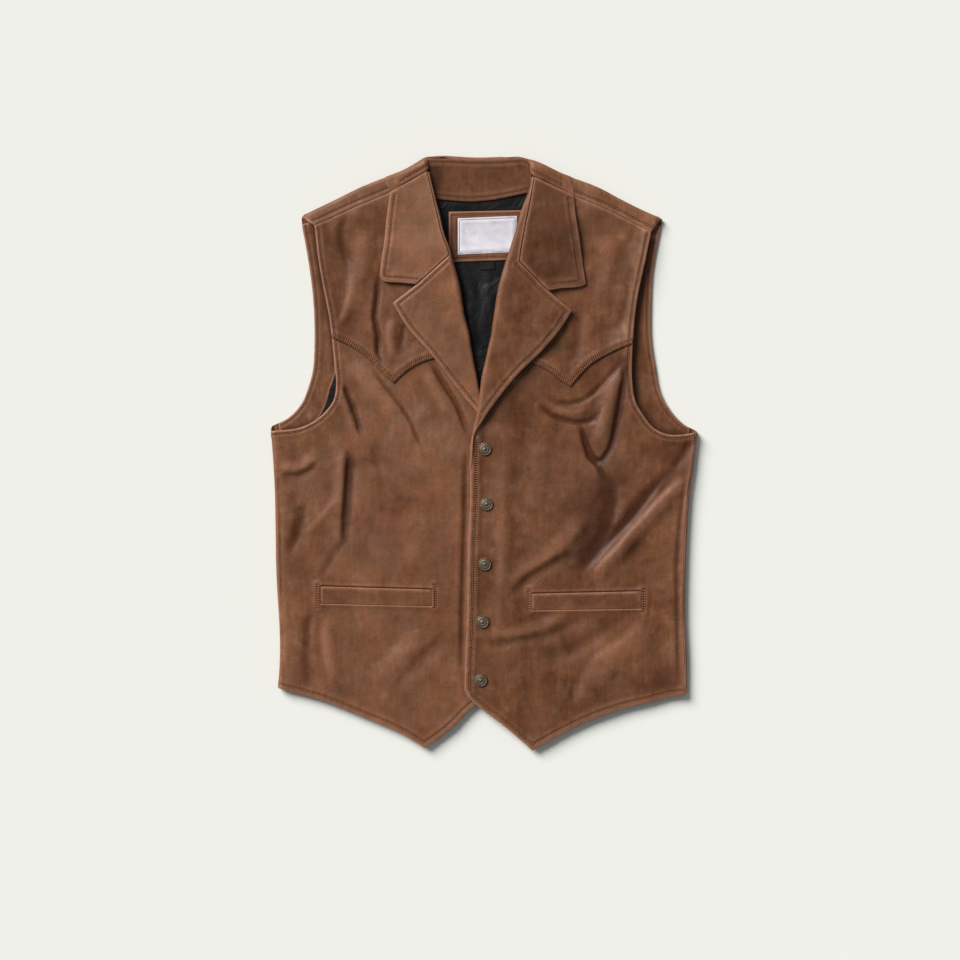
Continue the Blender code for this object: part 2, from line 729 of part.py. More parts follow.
def front_rings():
    """The outlines of the fronts, yokes and welts."""
    rings = {}
    for side in ("right", "left"):
        side_line = SIDE_BORDER[side].outside(math.pi - SIDE_TURN[side] - SEAM / 2 / SIDE_RADIUS)
        neck_edge = moved(TURN_BORDER[side].edge, NECK_EDGE)
        armhole = smooth(FRONT_ARMHOLE[side])
        outer_edge = smooth(YOKE_EDGE[side])
        inner_edge = smooth(YOKE_EDGE_INNER[side])
        yoke_edge = np.vstack((outer_edge, inner_edge[1:]))
        allowance = yoke_edge + (0, YOKE_ALLOWANCE)
        hem = smooth(HEM[side])
        hem_point = smooth(HEM_POINT[side])
        front_edge = smooth(FRONT_EDGE[side], COARSE_SAMPLE)
        side_down = stretch(side_line, armhole[-1], hem[0])
        neck_up = stretch(neck_edge, front_edge[-1], allowance[-1])
        arm_down = stretch(armhole, allowance[0], armhole[-1])
        rings[f"front_{side}"] = ring(
            side_down, hem[1:], hem_point[1:], front_edge[1:], neck_up[1:], allowance[::-1][1:-1],
            arm_down[:-1],
        )
        arm_up = stretch(armhole, yoke_edge[0], armhole[0])
        seam = moved(oriented(smooth(SHOULDER_SEAM[side]), CHEST), SEAM / 2)
        seam = seam if abs(seam[0][0]) > abs(seam[-1][0]) else seam[::-1]
        shoulder = clipped(seam, lambda line: TURN_BORDER[side].measure(line)[0] - NECK_EDGE)
        neck_down = stretch(neck_edge, shoulder[-1], yoke_edge[-1])
        neck_down = neck_down[neck_down[:, 1] < shoulder[-1][1] - SAMPLE / 3]
        rings[f"yoke_{side}"] = ring(arm_up[:-1], shoulder, neck_down, yoke_edge[::-1][1:-1])
        rings[f"welt_{side}"] = ring(straight([*WELT[side], WELT[side][0]], LATTICE)[:-1])
    return rings


def circle(centre, radius, count):
    """Points round a circle."""
    angles = np.arange(count) * 2 * math.pi / count
    return np.array(centre) + radius * np.column_stack((np.cos(angles), np.sin(angles)))


def build_fronts(finishes):
    """Fronts, yokes and welts, from one triangulation."""
    rings = front_rings()
    seats = {f"seat_{number}": circle(centre, SNAP_SEAT, 8) for number, centre in enumerate(SNAPS)}
    guides = []
    for side, border in SIDE_BORDER.items():
        guides.extend(border.guides(math.pi - SIDE_TURN[side] - 0.1))
    points, chosen = triangulated({**rings, **seats}, guides, LATTICE)
    for side in ("right", "left"):
        over = closure_lift if side == "left" else np.zeros_like
        laps = {
            f"front_{side}": lambda points, over=over: over(points[:, 0]),
            f"yoke_{side}": lambda points, side=side, over=over: (
                yoke_lift(points, side) + over(points[:, 0])
            ),
            f"welt_{side}": lambda points, over=over: over(points[:, 0]) + LAY,
        }
        for name, lift in laps.items():
            wall(name, points, chosen[name], place_front(lift), LEATHER, finishes["leather"])


def turned_rings(side):
    """The outlines of a lapel with its roll strip, and of its collar leaf."""
    border = TURN_BORDER[side]
    under = border.outside(lambda run: np.radians(turned_at(side, run, "turn")))
    under = under if under[0][1] < under[-1][1] else under[::-1]
    lapel_edge = smooth(LAPEL_EDGE[side])
    groove = smooth(COLLAR_GROOVE[side])
    under = under[under[:, 1] > lapel_edge[-1][1] + LAPEL_LOW_END[side]]
    gorge = straight(GORGE[side])
    notch = straight(NOTCH[side])
    collar_bottom = smooth(COLLAR_BOTTOM[side])
    collar_edge = smooth(COLLAR_EDGE[side])
    seam = moved(oriented(smooth(SHOULDER_SEAM[side]), CHEST), SEAM / 2)
    seam = seam if abs(seam[0][0]) > abs(seam[-1][0]) else seam[::-1]
    across = clipped(seam, lambda line: abs(collar_edge[-1][0]) - abs(line[:, 0]))
    across = clipped(across, lambda line: abs(line[:, 0]) - abs(groove[0][0]) - SEAM)
    outwards = np.array((SEAM if side == "left" else -SEAM, 0))
    upwards = np.array((0, SEAM))
    lapel = ring(under, groove[:-1], gorge, notch[1:], lapel_edge[1:])
    leaf = ring(
        groove[1:-1] + outwards, gorge + outwards + upwards, collar_bottom[1:] + upwards, collar_edge[1:-1],
        across,
    )
    return {f"lapel_{side}": lapel, f"collar_{side}": leaf}


def build_turned(finishes):
    """Lapels and front collar leaves."""
    for side in ("right", "left"):
        rings = turned_rings(side)
        guides = TURN_BORDER[side].guides(math.radians(160))
        points, chosen = triangulated(rings, guides, LATTICE)
        for name in rings:
            wall(name, points, chosen[name], place_turned(side), DOUBLED_LEATHER, finishes["leather"])


def back_rings():
    """The outlines of the back and of the sheets that lie in it."""
    beyond = {}
    seam = {}
    armhole = {}
    for side, border in SIDE_BORDER.items():
        line = border.outside(SIDE_TURN[side] - SEAM / 2 / SIDE_RADIUS)
        beyond[side] = line if line[0][1] > line[-1][1] else line[::-1]
        clear, _, _ = NECK_BORDER.measure(seam_on_back(side))
        seam[side] = seam_on_back(side)[clear > BACK_NECK_EDGE + SAMPLE / 3]
        armhole[side] = smooth(BACK_ARMHOLE[side])
    neck = moved(NECK_BORDER.edge, BACK_NECK_EDGE)
    neck = neck if neck[0][0] < neck[-1][0] else neck[::-1]
    hem = smooth(BACK_HEM, COARSE_SAMPLE)
    back = ring(
        neck, seam["left"], armhole["left"][:-1], beyond["left"], hem[::-1][1:-1],
        beyond["right"][::-1], armhole["right"][::-1][1:], seam["right"][::-1],
    )
    rings = {"back": back}
    lining = []
    for side in ("left", "right"):
        sense = 1 if side == "left" else -1
        edge = moved(armhole[side], -sense * FACING_WIDTH[side])
        shoulder = moved(SHOULDER_BORDER[side].edge, LINING_INSET)
        shoulder = shoulder if abs(shoulder[0][0]) < abs(shoulder[-1][0]) else shoulder[::-1]
        side_line = moved(SIDE_BORDER[side].edge, LINING_INSET)
        side_line = side_line if side_line[0][1] > side_line[-1][1] else side_line[::-1]
        fold_clear, _, _ = SHOULDER_BORDER[side].measure(edge)
        side_clear, _, _ = SIDE_BORDER[side].measure(edge)
        edge = edge[np.minimum(fold_clear, side_clear) > LINING_INSET + FACING_END]
        outer = armhole[side] - (sense * SEAM, 0)
        fold_clear, _, _ = SHOULDER_BORDER[side].measure(outer)
        side_clear, _, _ = SIDE_BORDER[side].measure(outer)
        outer = outer[np.minimum(fold_clear, side_clear) > LINING_INSET]
        facing_edge = moved(edge, (SEAM if edge[0][1] > edge[-1][1] else -SEAM) * sense)
        rings[f"armhole_facing_{side}"] = ring(outer, facing_edge[::-1])
        shoulder = shoulder[abs(shoulder[:, 0]) < abs(edge[0][0]) - LINING_CORNER]
        side_line = side_line[side_line[:, 1] < edge[-1][1] - LINING_CORNER]
        side_line = side_line[side_line[:, 1] > LINING_BOTTOM + LINING_CORNER]
        lining.append(np.vstack((shoulder, edge, side_line)))
    low_left = (lining[0][-1][0], LINING_BOTTOM)
    low_right = (lining[1][-1][0], LINING_BOTTOM)
    bottom = straight((low_left, low_right), COARSE_LATTICE)
    top = straight([(x, LINING_TOP) for x in LINING_NECK], COARSE_SAMPLE)
    rings["lining_back"] = ring(top, lining[0], bottom, lining[1][::-1])
    rings["neck_band"] = ring(smooth(NECK_BAND_TOP, COARSE_SAMPLE), smooth(NECK_BAND_LOW))
    rings["label_patch"] = ring(straight([*PATCH_CORNERS, PATCH_CORNERS[0]], COARSE_SAMPLE)[:-1])
    rings["label"] = ring(straight([*LABEL_CORNERS, LABEL_CORNERS[0]], COARSE_SAMPLE)[:-1])
    rings["size_tab"] = ring(np.array(TAB_CORNERS, float))
    return rings


def collar_back_ring():
    """The back collar's outline in the back's flat outline, from its seam on one shoulder to the other."""
    turned = NECK_BORDER.outside(
        lambda run: NECK_TURN_AT_SHOULDER
        + (NECK_TURN_BEHIND - NECK_TURN_AT_SHOULDER)
        * fade(0.5 - abs(run - 0.5), NECK_TURN_FROM, NECK_TURN_TO)
    )
    turned = turned[1:-1] if turned[0][0] < turned[-1][0] else turned[::-1][1:-1]
    ends = {}
    for side in SIDE:
        seam = seam_on_back(side)
        neckwards = (seam[0] - seam[1]) / np.linalg.norm(seam[0] - seam[1])
        tip = seam[0] + neckwards * NECK_RADIUS * (NECK_TURN_AT_SHOULDER - 1)
        last = SHOULDER_BORDER[side].unroll(np.array([COLLAR_BACK_EDGE[side][0]], float))
        edge = SHOULDER_BORDER[side].unroll(np.array([COLLAR_BACK_EDGE[side][1]], float))
        ends[side] = np.vstack((tip, stretch(seam, seam[0], last)[1:], edge))
    under = smooth(COLLAR_UNDER, COARSE_SAMPLE)
    return ring(turned, ends["left"], under[::-1], ends["right"][::-1])


def build_back(finishes):
    """The back, its lining, facings and neck band, and the patch with its label and tab."""
    rings = back_rings()
    guides = []
    for side, border in SIDE_BORDER.items():
        guides.extend(border.guides(SIDE_TURN[side] - 0.1))
    for border in SHOULDER_BORDER.values():
        guides.extend(border.guides(math.pi + 0.1))
    points, chosen = triangulated(rings, guides, COARSE_LATTICE)
    wall("back", points, chosen["back"], place_back, LEATHER, finishes["leather"])
    wall("lining_back", points, chosen["lining_back"], place_lining, LINING, finishes["lining"])
    for side in ("right", "left"):
        name = f"armhole_facing_{side}"
        wall(name, points, chosen[name], place_in_back(LEATHER), LEATHER, finishes["leather"])
    wall("neck_band", points, chosen["neck_band"], place_neck_band, LEATHER, finishes["leather"])
    wall("label_patch", points, chosen["label_patch"], place_on_lining(PATCH), PATCH, finishes["leather"])
    on_patch = place_on_lining(LINING, PATCH + SEAM)
    wall("label", points, chosen["label"], on_patch, LINING, finishes["label"])
    wall("size_tab", points, chosen["size_tab"], place_on_lining(LINING), LINING, finishes["lining"])
    guides = []
    for border in SHOULDER_BORDER.values():
        guides.extend(border.guides(math.pi + 0.1))
    guides.extend(NECK_BORDER.guides(NECK_TURN_BEHIND, 1))
    points, chosen = triangulated({"collar_back": collar_back_ring()}, guides, LATTICE)
    triangles = chosen["collar_back"]
    wall("collar_back", points, triangles, place_collar_back, DOUBLED_LEATHER, finishes["leather"])


def build_snaps(finishes):
    """The snap caps, domed and stepped, each turned about its own axis."""
    for number, centre in enumerate(SNAPS, 1):
        mesh = bpy.data.meshes.new(f"snap_{number}")
        built = bmesh.new()
        rows = []
        for radius, level in SNAP_PROFILE:
            spots = circle((0, 0), radius, SNAP_SIDES) * MM
            rows.append([built.verts.new((*spot, level * MM)) for spot in spots])
        for low, high in zip(rows, rows[1:]):
            for k in range(SNAP_SIDES):
                after = (k + 1) % SNAP_SIDES
                built.faces.new((low[k], low[after], high[after], high[k]))
        crown = built.verts.new((0, 0, SNAP_HEIGHT * MM))
        for k in range(SNAP_SIDES):
            built.faces.new((rows[-1][k], rows[-1][(k + 1) % SNAP_SIDES], crown))
        built.faces.new(rows[0][::-1])
        bmesh.ops.recalc_face_normals(built, faces=built.faces)
        built.to_mesh(mesh)
        built.free()
        mesh.shade_smooth()
        cap = add_object(f"snap_{number}", mesh, finishes["snap"])
        seat = np.array([centre], float)
        top = front_height(seat)[0] + closure_lift(seat[:, 0])[0]
        cap.location = ((centre[0] - MIDDLE_X) * MM, (centre[1] - MIDDLE_Y) * MM, (top + SEAM) * MM)


def main():
    for old in list(bpy.data.objects):
        bpy.data.objects.remove(old, do_unlink=True)
    vest = bpy.data.objects.new("vest", None)
    bpy.context.scene.collection.objects.link(vest)
    finishes = {
        name: material(name, colour, roughness, metallic)
        for name, (colour, roughness, metallic) in FINISHES.items()
    }
    build_back(finishes)
    build_fronts(finishes)
    build_turned(finishes)
    build_snaps(finishes)


main()
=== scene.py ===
"""Leather vest with notched lapels, pointed yokes and five snaps, laid on its back and closed.

Each sheet starts as a flat outline that lies where the sheet will lie. Its points are lifted to the
sheet's height, with folds, and those past a border are rolled round it, as at a shoulder or a lapel.
Lengths are in millimetres, x to the wearer's left, y to the neck and z up, until a mesh is written.
"""
import math
from collections import namedtuple

import bmesh
import bpy
import numpy as np
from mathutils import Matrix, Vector
from mathutils.geometry import delaunay_2d_cdt
from mathutils.kdtree import KDTree


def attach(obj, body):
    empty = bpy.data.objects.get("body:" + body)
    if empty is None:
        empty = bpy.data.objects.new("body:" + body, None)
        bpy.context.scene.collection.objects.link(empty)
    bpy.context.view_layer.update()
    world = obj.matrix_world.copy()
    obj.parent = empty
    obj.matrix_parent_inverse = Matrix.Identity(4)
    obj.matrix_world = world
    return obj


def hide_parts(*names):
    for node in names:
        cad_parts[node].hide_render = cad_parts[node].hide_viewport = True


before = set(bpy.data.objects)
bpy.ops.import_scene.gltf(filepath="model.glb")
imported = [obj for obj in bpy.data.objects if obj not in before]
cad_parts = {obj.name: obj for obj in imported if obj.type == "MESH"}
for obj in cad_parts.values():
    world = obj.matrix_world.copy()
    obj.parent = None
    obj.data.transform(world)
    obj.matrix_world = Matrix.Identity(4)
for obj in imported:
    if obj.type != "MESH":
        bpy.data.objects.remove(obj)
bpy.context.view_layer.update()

MM = 0.001

# The middle of the vest's outline on these drawing axes, which becomes the origin
MIDDLE_X = 0.1
MIDDLE_Y = -2.5

# Thicknesses, the gap at a seam, and how far the back's underside keeps off the floor
LEATHER = 1.6
DOUBLED_LEATHER = 2.6
LINING = 1.0
PATCH = 1.2
SEAM = 0.3
LAY = SEAM + LEATHER
UNDERSIDE = 0.15

# Heights of the fronts, and how softly they stop at the lowest
FRONT_TOP = 8.5
LOWEST_FRONT_TOP = 5.0
CLAMP_SOFTNESS = 1.2

# Rolls, by their outer radius
SIDE_RADIUS = 5.5
SHOULDER_RADIUS = 5.0
NECK_RADIUS = 6.0
SIDE_TURN = {"left": math.radians(153), "right": math.radians(90)}
NECK_TURN_AT_SHOULDER = math.radians(90)
NECK_TURN_BEHIND = math.radians(165)
NECK_TURN_FROM, NECK_TURN_TO = 0.12, 0.3
BACK_NECK_EDGE = 14.0
BORDER_EXTENSION = 40.0
NECK_EXTENSION = 12.0

# The back collar lies under the back, which it raises, and it thins towards its ends
COLLAR_CLEAR = 1.2
COLLAR_END_CLEAR = 0.1
COLLAR_THINS = (64.0, 100.0)
COLLAR_THINNING = 2.1
RAISE = DOUBLED_LEATHER + COLLAR_CLEAR
RAISE_FROM_Y, RAISE_TO_Y = 264.0, 300.0
RAISE_FROM_X, RAISE_TO_X = 186.0, 134.0

# Overlaps
YOKE_ALLOWANCE = 10.0
YOKE_FADE = (34.0, 11.0)
CLOSURE_FADE = (40.0, 6.0)
NECK_EDGE = 5.3
LAPEL_END = {"left": -2, "right": 17}

# The lining and the neck band
LINING_INSET = 8.0
LINING_CORNER = 4.0
LINING_TOP = ((-56, 346), (48, 346))
LINING_BOTTOM = -274.0
BAND_SLOPE = 1.3

# The width of an armhole facing, as (y, width), its clearances, and its shade beside the front's edge
FACING_WIDTH = {
    "left": ((20, 34), (110, 34), (290, 29)),
    "right": ((20, 32), (52, 28), (62, 28), (84, 26.5), (100, 28.5), (125, 28), (290, 22)),
}
FACING_INSET = 10.0
FACING_END = 8.0
FACING_SHADE = 0.9
FACING_SHADE_WIDTH = {"left": 12.0, "right": 7.0}

# Spacing of points in sheets, and how far a lattice keeps off other points, as a share of its spacing
FINE = 2.3
COARSE = 4.5
LINING_SPACING = 3.2
LATTICE_CLEAR = 0.55
MERGE = 1e-4
TINY = 1e-6

# Spacing of points along lines, and the least between them where lines join and where seams end
SAMPLE = 2.5
FINE_SAMPLE = 1.0
COARSE_SAMPLE = 12.0
JOIN_GAP = SAMPLE / 6
END_GAP = SAMPLE / 3

# Lines along a roll, at each step of its turn
ROLL_STEP = math.radians(12)
ROLL_MARGIN = 0.1
LAPEL_GUIDE_TURN = math.radians(165)
GUIDE_EXTENSION = 12.0

# How far from a line its effects reach, with a first search among some of its points
REACH = 12.0
SEARCH_EVERY = 6
SEARCH_MARGIN = 20.0
CHUNK = 4000

# The sheets' rounded edges, and the painted highlight along them, which the plain pieces and lines lack
EDGE_ROUND = 0.75
THIN_EDGE = 0.45
RIM_SHARES = (0.12, 0.35, 0.7, 1.1, 2.0)
RIM_CLEAR = 1.9
SHARPEST_CORNER = 0.3
EDGE_LIGHT_WIDTH = 2.1
PLAIN_EDGES = ("neck_band", "collar_back", "lining_back", "label", "size_tab")
PLAIN_REACH = (1.5, 5.0)

# Slits and lips pressed into a sheet, as (depth, darkness), where a slit's darkness is painted shade and a
# lip's negative darkness a painted highlight, and the bed round a welt
SLIT_WIDTH = 0.7
GROOVE_CUT = (0.3, 1.5)
GROOVE_LIP = (-0.3, -0.9)
LIP_GAP = 1.9
WELT_GAP = 0.9
WELT_SLIT = (1.0, 1.8)
WELT_LIP = (-0.1, -1.3)
WELT_END = (0.5, 1.2)
WELT_SINK = 0.8
WELT_PUFF = 1.1
WELT_PUFF_WIDTH = 2.4
WELT_BED = 1.0

# What a sewn row does to a sheet
PUFF = 0.6
PUFF_AWAY = 3.2
PUFF_WIDTH = 2.0
PUCKER = 0.22
PUCKER_SIZE = 5.0
PUCKER_ROWS_APART = 31.0
PUCKER_SEED = 90
GROOVE = 0.32
GROOVE_WIDTH = 0.8
GROOVE_LINES = (-2.8, -1.2, -0.55, 0.0, 0.55, 1.2, 2.8)
ROW_END_FADE = 2.0
LOOP_SHARE = 0.985

# Stitches: their pitch, the stations along a thread as (share, depth, radius), and the holes, dark discs of
# painted shade
STITCH_PITCH = 2.8
STITCH_SHARE = 0.62
STITCH_SIDES = 6
STITCH_STATIONS = ((0.0, 0.25, 0.25), (0.2, -0.28, 0.55), (0.8, -0.28, 0.55), (1.0, 0.25, 0.25))
HOLE_SHARE = 0.5 * (1 - STITCH_SHARE) / STITCH_SHARE
HOLE_SIZE = (0.66, 0.8)
HOLE_LEVELS = (0.25, -0.14)

# Sewn rows, by their distance from the edge, what they keep clear of, and points to their inner side
HEM_ROW = 6.2
FRONT_ROW = 8.4
ARM_ROW = 4.3
ARM_ROW_BELOW_YOKE = 4.0
ARM_ROW_ABOVE_YOKE = 1.0
YOKE_ROWS = (2.6, 5.4)
YOKE_ROW_CLEAR = 3.0
LAPEL_ROW = 5.6
LAPEL_ROW_CLEAR = 6.0
COLLAR_ROW = 6.5
COLLAR_ROW_END = 4.0
ROLL_CLEAR = 1.0
BAND_ROW = 4.5
PATCH_ROW = 4.0
LABEL_ROW = 1.8
WELT_ROWS = (1.6, 4.4)
WELT_ROW_PAST = (1.5, 2.5)
SHOULDER_ROW = 5.6
SHOULDER_ROW_END = 2.0
INNER_X = {"left": 100.0, "right": -100.0}
FRONT_MIDDLE_Y = -120.0
CHEST_Y = 140.0
YOKE_MIDDLE = {"left": (100, 250), "right": (-100, 250)}
LAPEL_MIDDLE = {"left": (40, 150), "right": (-40, 150)}
SHOULDER_MIDDLE = {"left": (88, 250), "right": (-88, 250)}
NECK_MIDDLE = (0, 250)
BAND_MIDDLE = (0, 330)

# The share of a crease's width that gets painted shade, and the dark along the armholes' sewn rows
CREASE_SHADE_SHARE = 0.75
ARM_ROW_DARK = 0.9
ARM_ROW_WIDTH = 1.5

# Creases and the leather's unevenness, as (size, height, seed)
TROUGH_SHARPNESS = 1.6
CREASE_ENDS = 0.25
FOLD_ENDS = 0.3
NOISE_CELLS = 64
UNEVENNESS = ((46.0, 0.55, 11), (21.0, 0.38, 12), (9.0, 0.14, 13))
UNEVEN_TURNED = ((40.0, 1.1, 21), (18.0, 0.55, 22), (8.0, 0.13, 23))
RELIEF_BLUR = 60

# The snaps, as (radius, level)
SNAP_PROFILE = ((7.0, 0.0), (7.7, 0.25), (8.0, 0.7), (7.9, 1.2), (7.5, 1.65), (7.0, 1.8), (6.5, 1.65),
                (6.2, 1.45), (5.7, 1.55), (5.2, 1.95), (4.4, 2.2), (3.6, 2.28), (3.1, 2.1), (2.6, 2.1),
                (2.2, 2.5), (1.2, 2.85), (0.5, 2.95), (0.0, 2.97))
SNAP_SIDES = 48
SNAP_BEADS = 14
BEAD_SIDES = 8
BEAD_PROFILE = ((0.5, -0.2), (0.62, 0.0), (0.5, 0.3), (0.25, 0.45), (0.0, 0.5))
BEAD_RING = 4.35
BEAD_LEVEL = 2.05

# The names of sheets of each finish
SHEET_NAMES = {"leather": "leather", "lining": "cloth", "label": "cloth"}

# Finishes: noise as (size in millimetres, detail, distortion, squeeze), its weights, and colours
BLOTCHES = (((95, 3, 0.6), 0.30), ((30, 4, 0.8), 0.34), ((9, 4, 0.6), 0.16),
            ((5, 4, 0.3, (1.0, 0.2, 1.0)), 0.20))
HUES = (((17, 3, 0.8), 0.55), ((46, 2, 0.6), 0.45))
GRAIN = 1.1
LINING_WEAVE = (2.2, 2.2)
LABEL_WEAVE = (2.6, 1.8)
LEATHER_TONES = ((0.36, (0.068, 0.020, 0.006)), (0.45, (0.124, 0.043, 0.014)), (0.54, (0.166, 0.064, 0.025)),
                 (0.63, (0.250, 0.109, 0.052)))
LEATHER_HUES = ((0.38, (1.06, 0.98, 0.89)), (0.5, (1.0, 1.0, 1.0)), (0.62, (0.92, 1.03, 1.14)))
LEATHER_PINK = (0.205, 0.074, 0.044)
# Colours for lighter ridges and specks with painted highlights on lips, for painted light, for darker specks
# and seams with painted shade, and for the painted highlight along edges
LEATHER_WEAR_AND_HIGHLIGHT = (0.330, 0.150, 0.084)
LEATHER_PAINTED_LIGHT = (0.290, 0.128, 0.068)
LEATHER_DARK_AND_SHADE = (0.044, 0.009, 0.001)
LEATHER_EDGE_HIGHLIGHT = (0.420, 0.205, 0.125)
LINING_TONES = ((0.3, (0.004, 0.004, 0.005)), (0.7, (0.010, 0.010, 0.011)))
LINING_THREAD = (0.018, 0.018, 0.020)
LABEL_TONES = ((0.3, (0.66, 0.63, 0.70)), (0.7, (0.80, 0.78, 0.84)))
LABEL_THREAD = (0.88, 0.87, 0.9)
BROWN_THREAD = ((0.29, 0.130, 0.074), (0.42, 0.215, 0.138))
WHITE_THREAD = ((0.55, 0.53, 0.58), (0.8, 0.78, 0.82))
BRASS_TONES = ((0.35, (0.10, 0.077, 0.057)), (0.6, (0.22, 0.175, 0.13)), (0.8, (0.38, 0.315, 0.24)))
# The painted shade in the stitch holes, on the leather and on the label
HOLE_SHADE_COLOUR = (0.012, 0.004, 0.002)
LABEL_HOLE_SHADE_COLOUR = (0.30, 0.28, 0.32)
# How strongly the troughs take painted shade
TROUGH_SHADE_SCALE = 1.3
FLOOR_COLOUR = (0.85, 0.86, 0.82)

# Lights and camera, in the vest's own frame
SKY_COLOUR = (0.97, 0.99, 1.0)
SKY_STRENGTH = 0.22
KEY_STRENGTH = 4.45
KEY_SPREAD = 34.0
KEY_ELEVATION = 35.0
KEY_AZIMUTH = 135.0
KEY_COLOUR = (1.0, 0.985, 0.96)
SENSOR = 36.0
CAMERA_HEIGHT = 3000.0
VEST_LEVEL = 9.0
FRAME_WIDTH = 1168.0
FRAME_MIDDLE = (-5.1, -32.0)
FLOOR_LEVEL = -0.2
FLOOR_HALF = 6.0

# Lines seen from above, each smooth, as (x, y)
SIDE = {
    "left": ((260, 24), (255, -20), (251, -48), (247, -107), (245, -170), (245, -207), (247, -250),
             (247, -296)),
    "right": ((-260, 28), (-257, -10), (-255, -48), (-254, -95), (-253, -149), (-249, -221),
              (-249, -256), (-251, -288)),
}
HEM = {
    "left": ((247, -296), (225, -299), (206, -304), (169, -313), (132, -326), (94, -344), (59, -364)),
    "right": ((-251, -288), (-225, -295), (-200, -302), (-152, -321), (-103, -342), (-72, -361)),
}
HEM_POINT = {
    "left": ((59, -364), (27, -336), (-7, -310), (-18, -300), (-24, -290)),
    "right": ((-72, -361), (-42, -339), (-18, -315), (-8, -307), (13, -291)),
}
FRONT_EDGE = {
    "left": ((-24, -290), (-23, -254), (-21, -205), (-19, -101), (-17, -59), (-17, -10), (-16, 14)),
    "right": ((13, -291), (14, -150), (15, 12)),
}
FRONT_ARMHOLE = {
    "left": ((203, 266), (196, 232), (186, 185), (181, 136), (180, 87), (184, 61), (193, 45), (206, 29),
             (223, 21), (243, 21), (260, 24)),
    "right": ((-206, 274), (-202, 237), (-196, 202), (-188, 161), (-182, 106), (-180, 81), (-183, 63),
              (-191, 51), (-204, 39), (-225, 29), (-258, 25)),
}
BACK_ARMHOLE = {
    "left": ((218, 284), (213, 260), (206, 218), (204, 185), (204, 139), (209, 104), (215, 73),
             (227, 51), (243, 34), (262, 24)),
    "right": ((-223, 287), (-221.5, 272), (-219, 259), (-214, 230), (-210, 201), (-207.5, 171),
              (-207, 127), (-209, 99), (-214, 80), (-222, 60), (-238, 42), (-262, 30)),
}
SHOULDER_FOLD = {
    "left": ((59, 351), (84, 342), (103, 335), (138, 322), (170, 305.5), (199, 291.5), (219, 283)),
    "right": ((-71, 355), (-101, 341), (-126, 331.5), (-152, 321), (-181, 307), (-210, 293),
              (-223, 286.5)),
}
SHOULDER_SEAM = {
    "left": ((56, 336), (107, 312), (141, 298), (165, 287), (203, 267)),
    "right": ((-66, 342), (-113, 316), (-160, 296), (-207, 275)),
}
YOKE_EDGE = {
    "left": ((181, 131), (165, 125), (141, 113), (128, 104), (105, 79)),
    "right": ((-185, 138), (-164, 129), (-139, 111), (-127, 98), (-110, 83)),
}
YOKE_EDGE_INNER = {
    "left": ((105, 79), (92, 87), (80, 97), (58, 108), (11, 124)),
    "right": ((-110, 83), (-103, 90), (-91, 100), (-79, 107), (-65, 112), (-20, 122)),
}
LAPEL_ROLL = {
    "left": ((-18, -30), (-17.2, -8), (-16, 14), (-9, 45), (-1, 100), (9, 148), (19, 203), (30.5, 246),
             (43, 288), (53, 316), (57.5, 336)),
    "right": ((15, 12), (3, 40), (-6, 75), (-15, 130), (-26, 179), (-36, 227), (-48, 264), (-55, 294),
              (-61, 319), (-66, 341)),
}
LAPEL_EDGE = {
    "left": ((106, 170), (92, 148), (68, 120), (43, 96), (19, 67), (-5, 33), (-12, 21), (-13.6, 4),
             (-14.6, -12), (-17, -27)),
    "right": ((-110, 178), (-91, 148), (-66, 120), (-42, 89), (-18, 59), (-6, 45)),
}
COLLAR_GROOVE = {
    "left": ((60.6, 333.6), (56.6, 307), (50.4, 276), (45, 246), (43, 231)),
    "right": ((-69, 340.1), (-64, 319), (-58, 294), (-51, 264), (-44, 246), (-42, 239)),
}
GORGE = {
    "left": ((43, 231), (74, 199)),
    "right": ((-42, 239), (-82, 203)),
}
NOTCH = {
    "left": ((74, 199), (106, 172), (106, 170)),
    "right": ((-82, 203), (-107, 184), (-111, 181), (-110, 178)),
}
COLLAR_BOTTOM = {
    "left": ((74, 199), (79, 196), (92, 198), (120, 201), (124, 204)),
    "right": ((-82, 203), (-103, 205), (-122, 207), (-127, 213)),
}
COLLAR_EDGE = {
    "left": ((124, 204), (121, 221), (116, 258), (111, 288), (109, 311)),
    "right": ((-127, 213), (-125, 231), (-121, 258), (-118, 288), (-114, 316)),
}
COLLAR_BACK_EDGE = {
    "left": ((109, 311), (109, 322), (103, 335)),
    "right": ((-114, 316), (-120, 326), (-125, 332)),
}
NECK_ROLL = ((-69, 361.5), (-52, 361), (-36, 359.6), (-10, 358.3), (25, 359.2), (44, 360.6), (56.5, 359))
COLLAR_UNDER = ((-116, 318), (-60, 308), (0, 306), (55, 307), (96, 320))
NECK_BAND_TOP = ((-70, 356.4), (-40, 356.0), (-10, 354.6), (25, 355.4), (46, 356.8), (58, 353.5), (60, 349))
NECK_BAND_LOW = ((56, 315), (9, 306), (-20, 304), (-62, 307.4))
BACK_HEM = ((-251, -287), (-120, -290), (0, -292), (120, -293), (247, -295))
WELT = {
    "left": ((58, -173), (191, -170), (191, -191), (58, -193)),
    "right": ((-199, -164), (-63, -168), (-63, -188), (-199, -185)),
}
PATCH_CORNERS = ((-43, 292), (48, 294), (47, 234), (-43, 231))
LABEL_CORNERS = ((-32, 284), (40, 287), (40, 243), (-32, 240))
TAB_CORNERS = ((-5, 230.5), (13, 231), (13, 222), (-5, 221.5))
SNAPS = ((1, 3), (3, -64), (1, -137), (-2, -207), (-4, -278))
SNAP_SEAT = 9.5

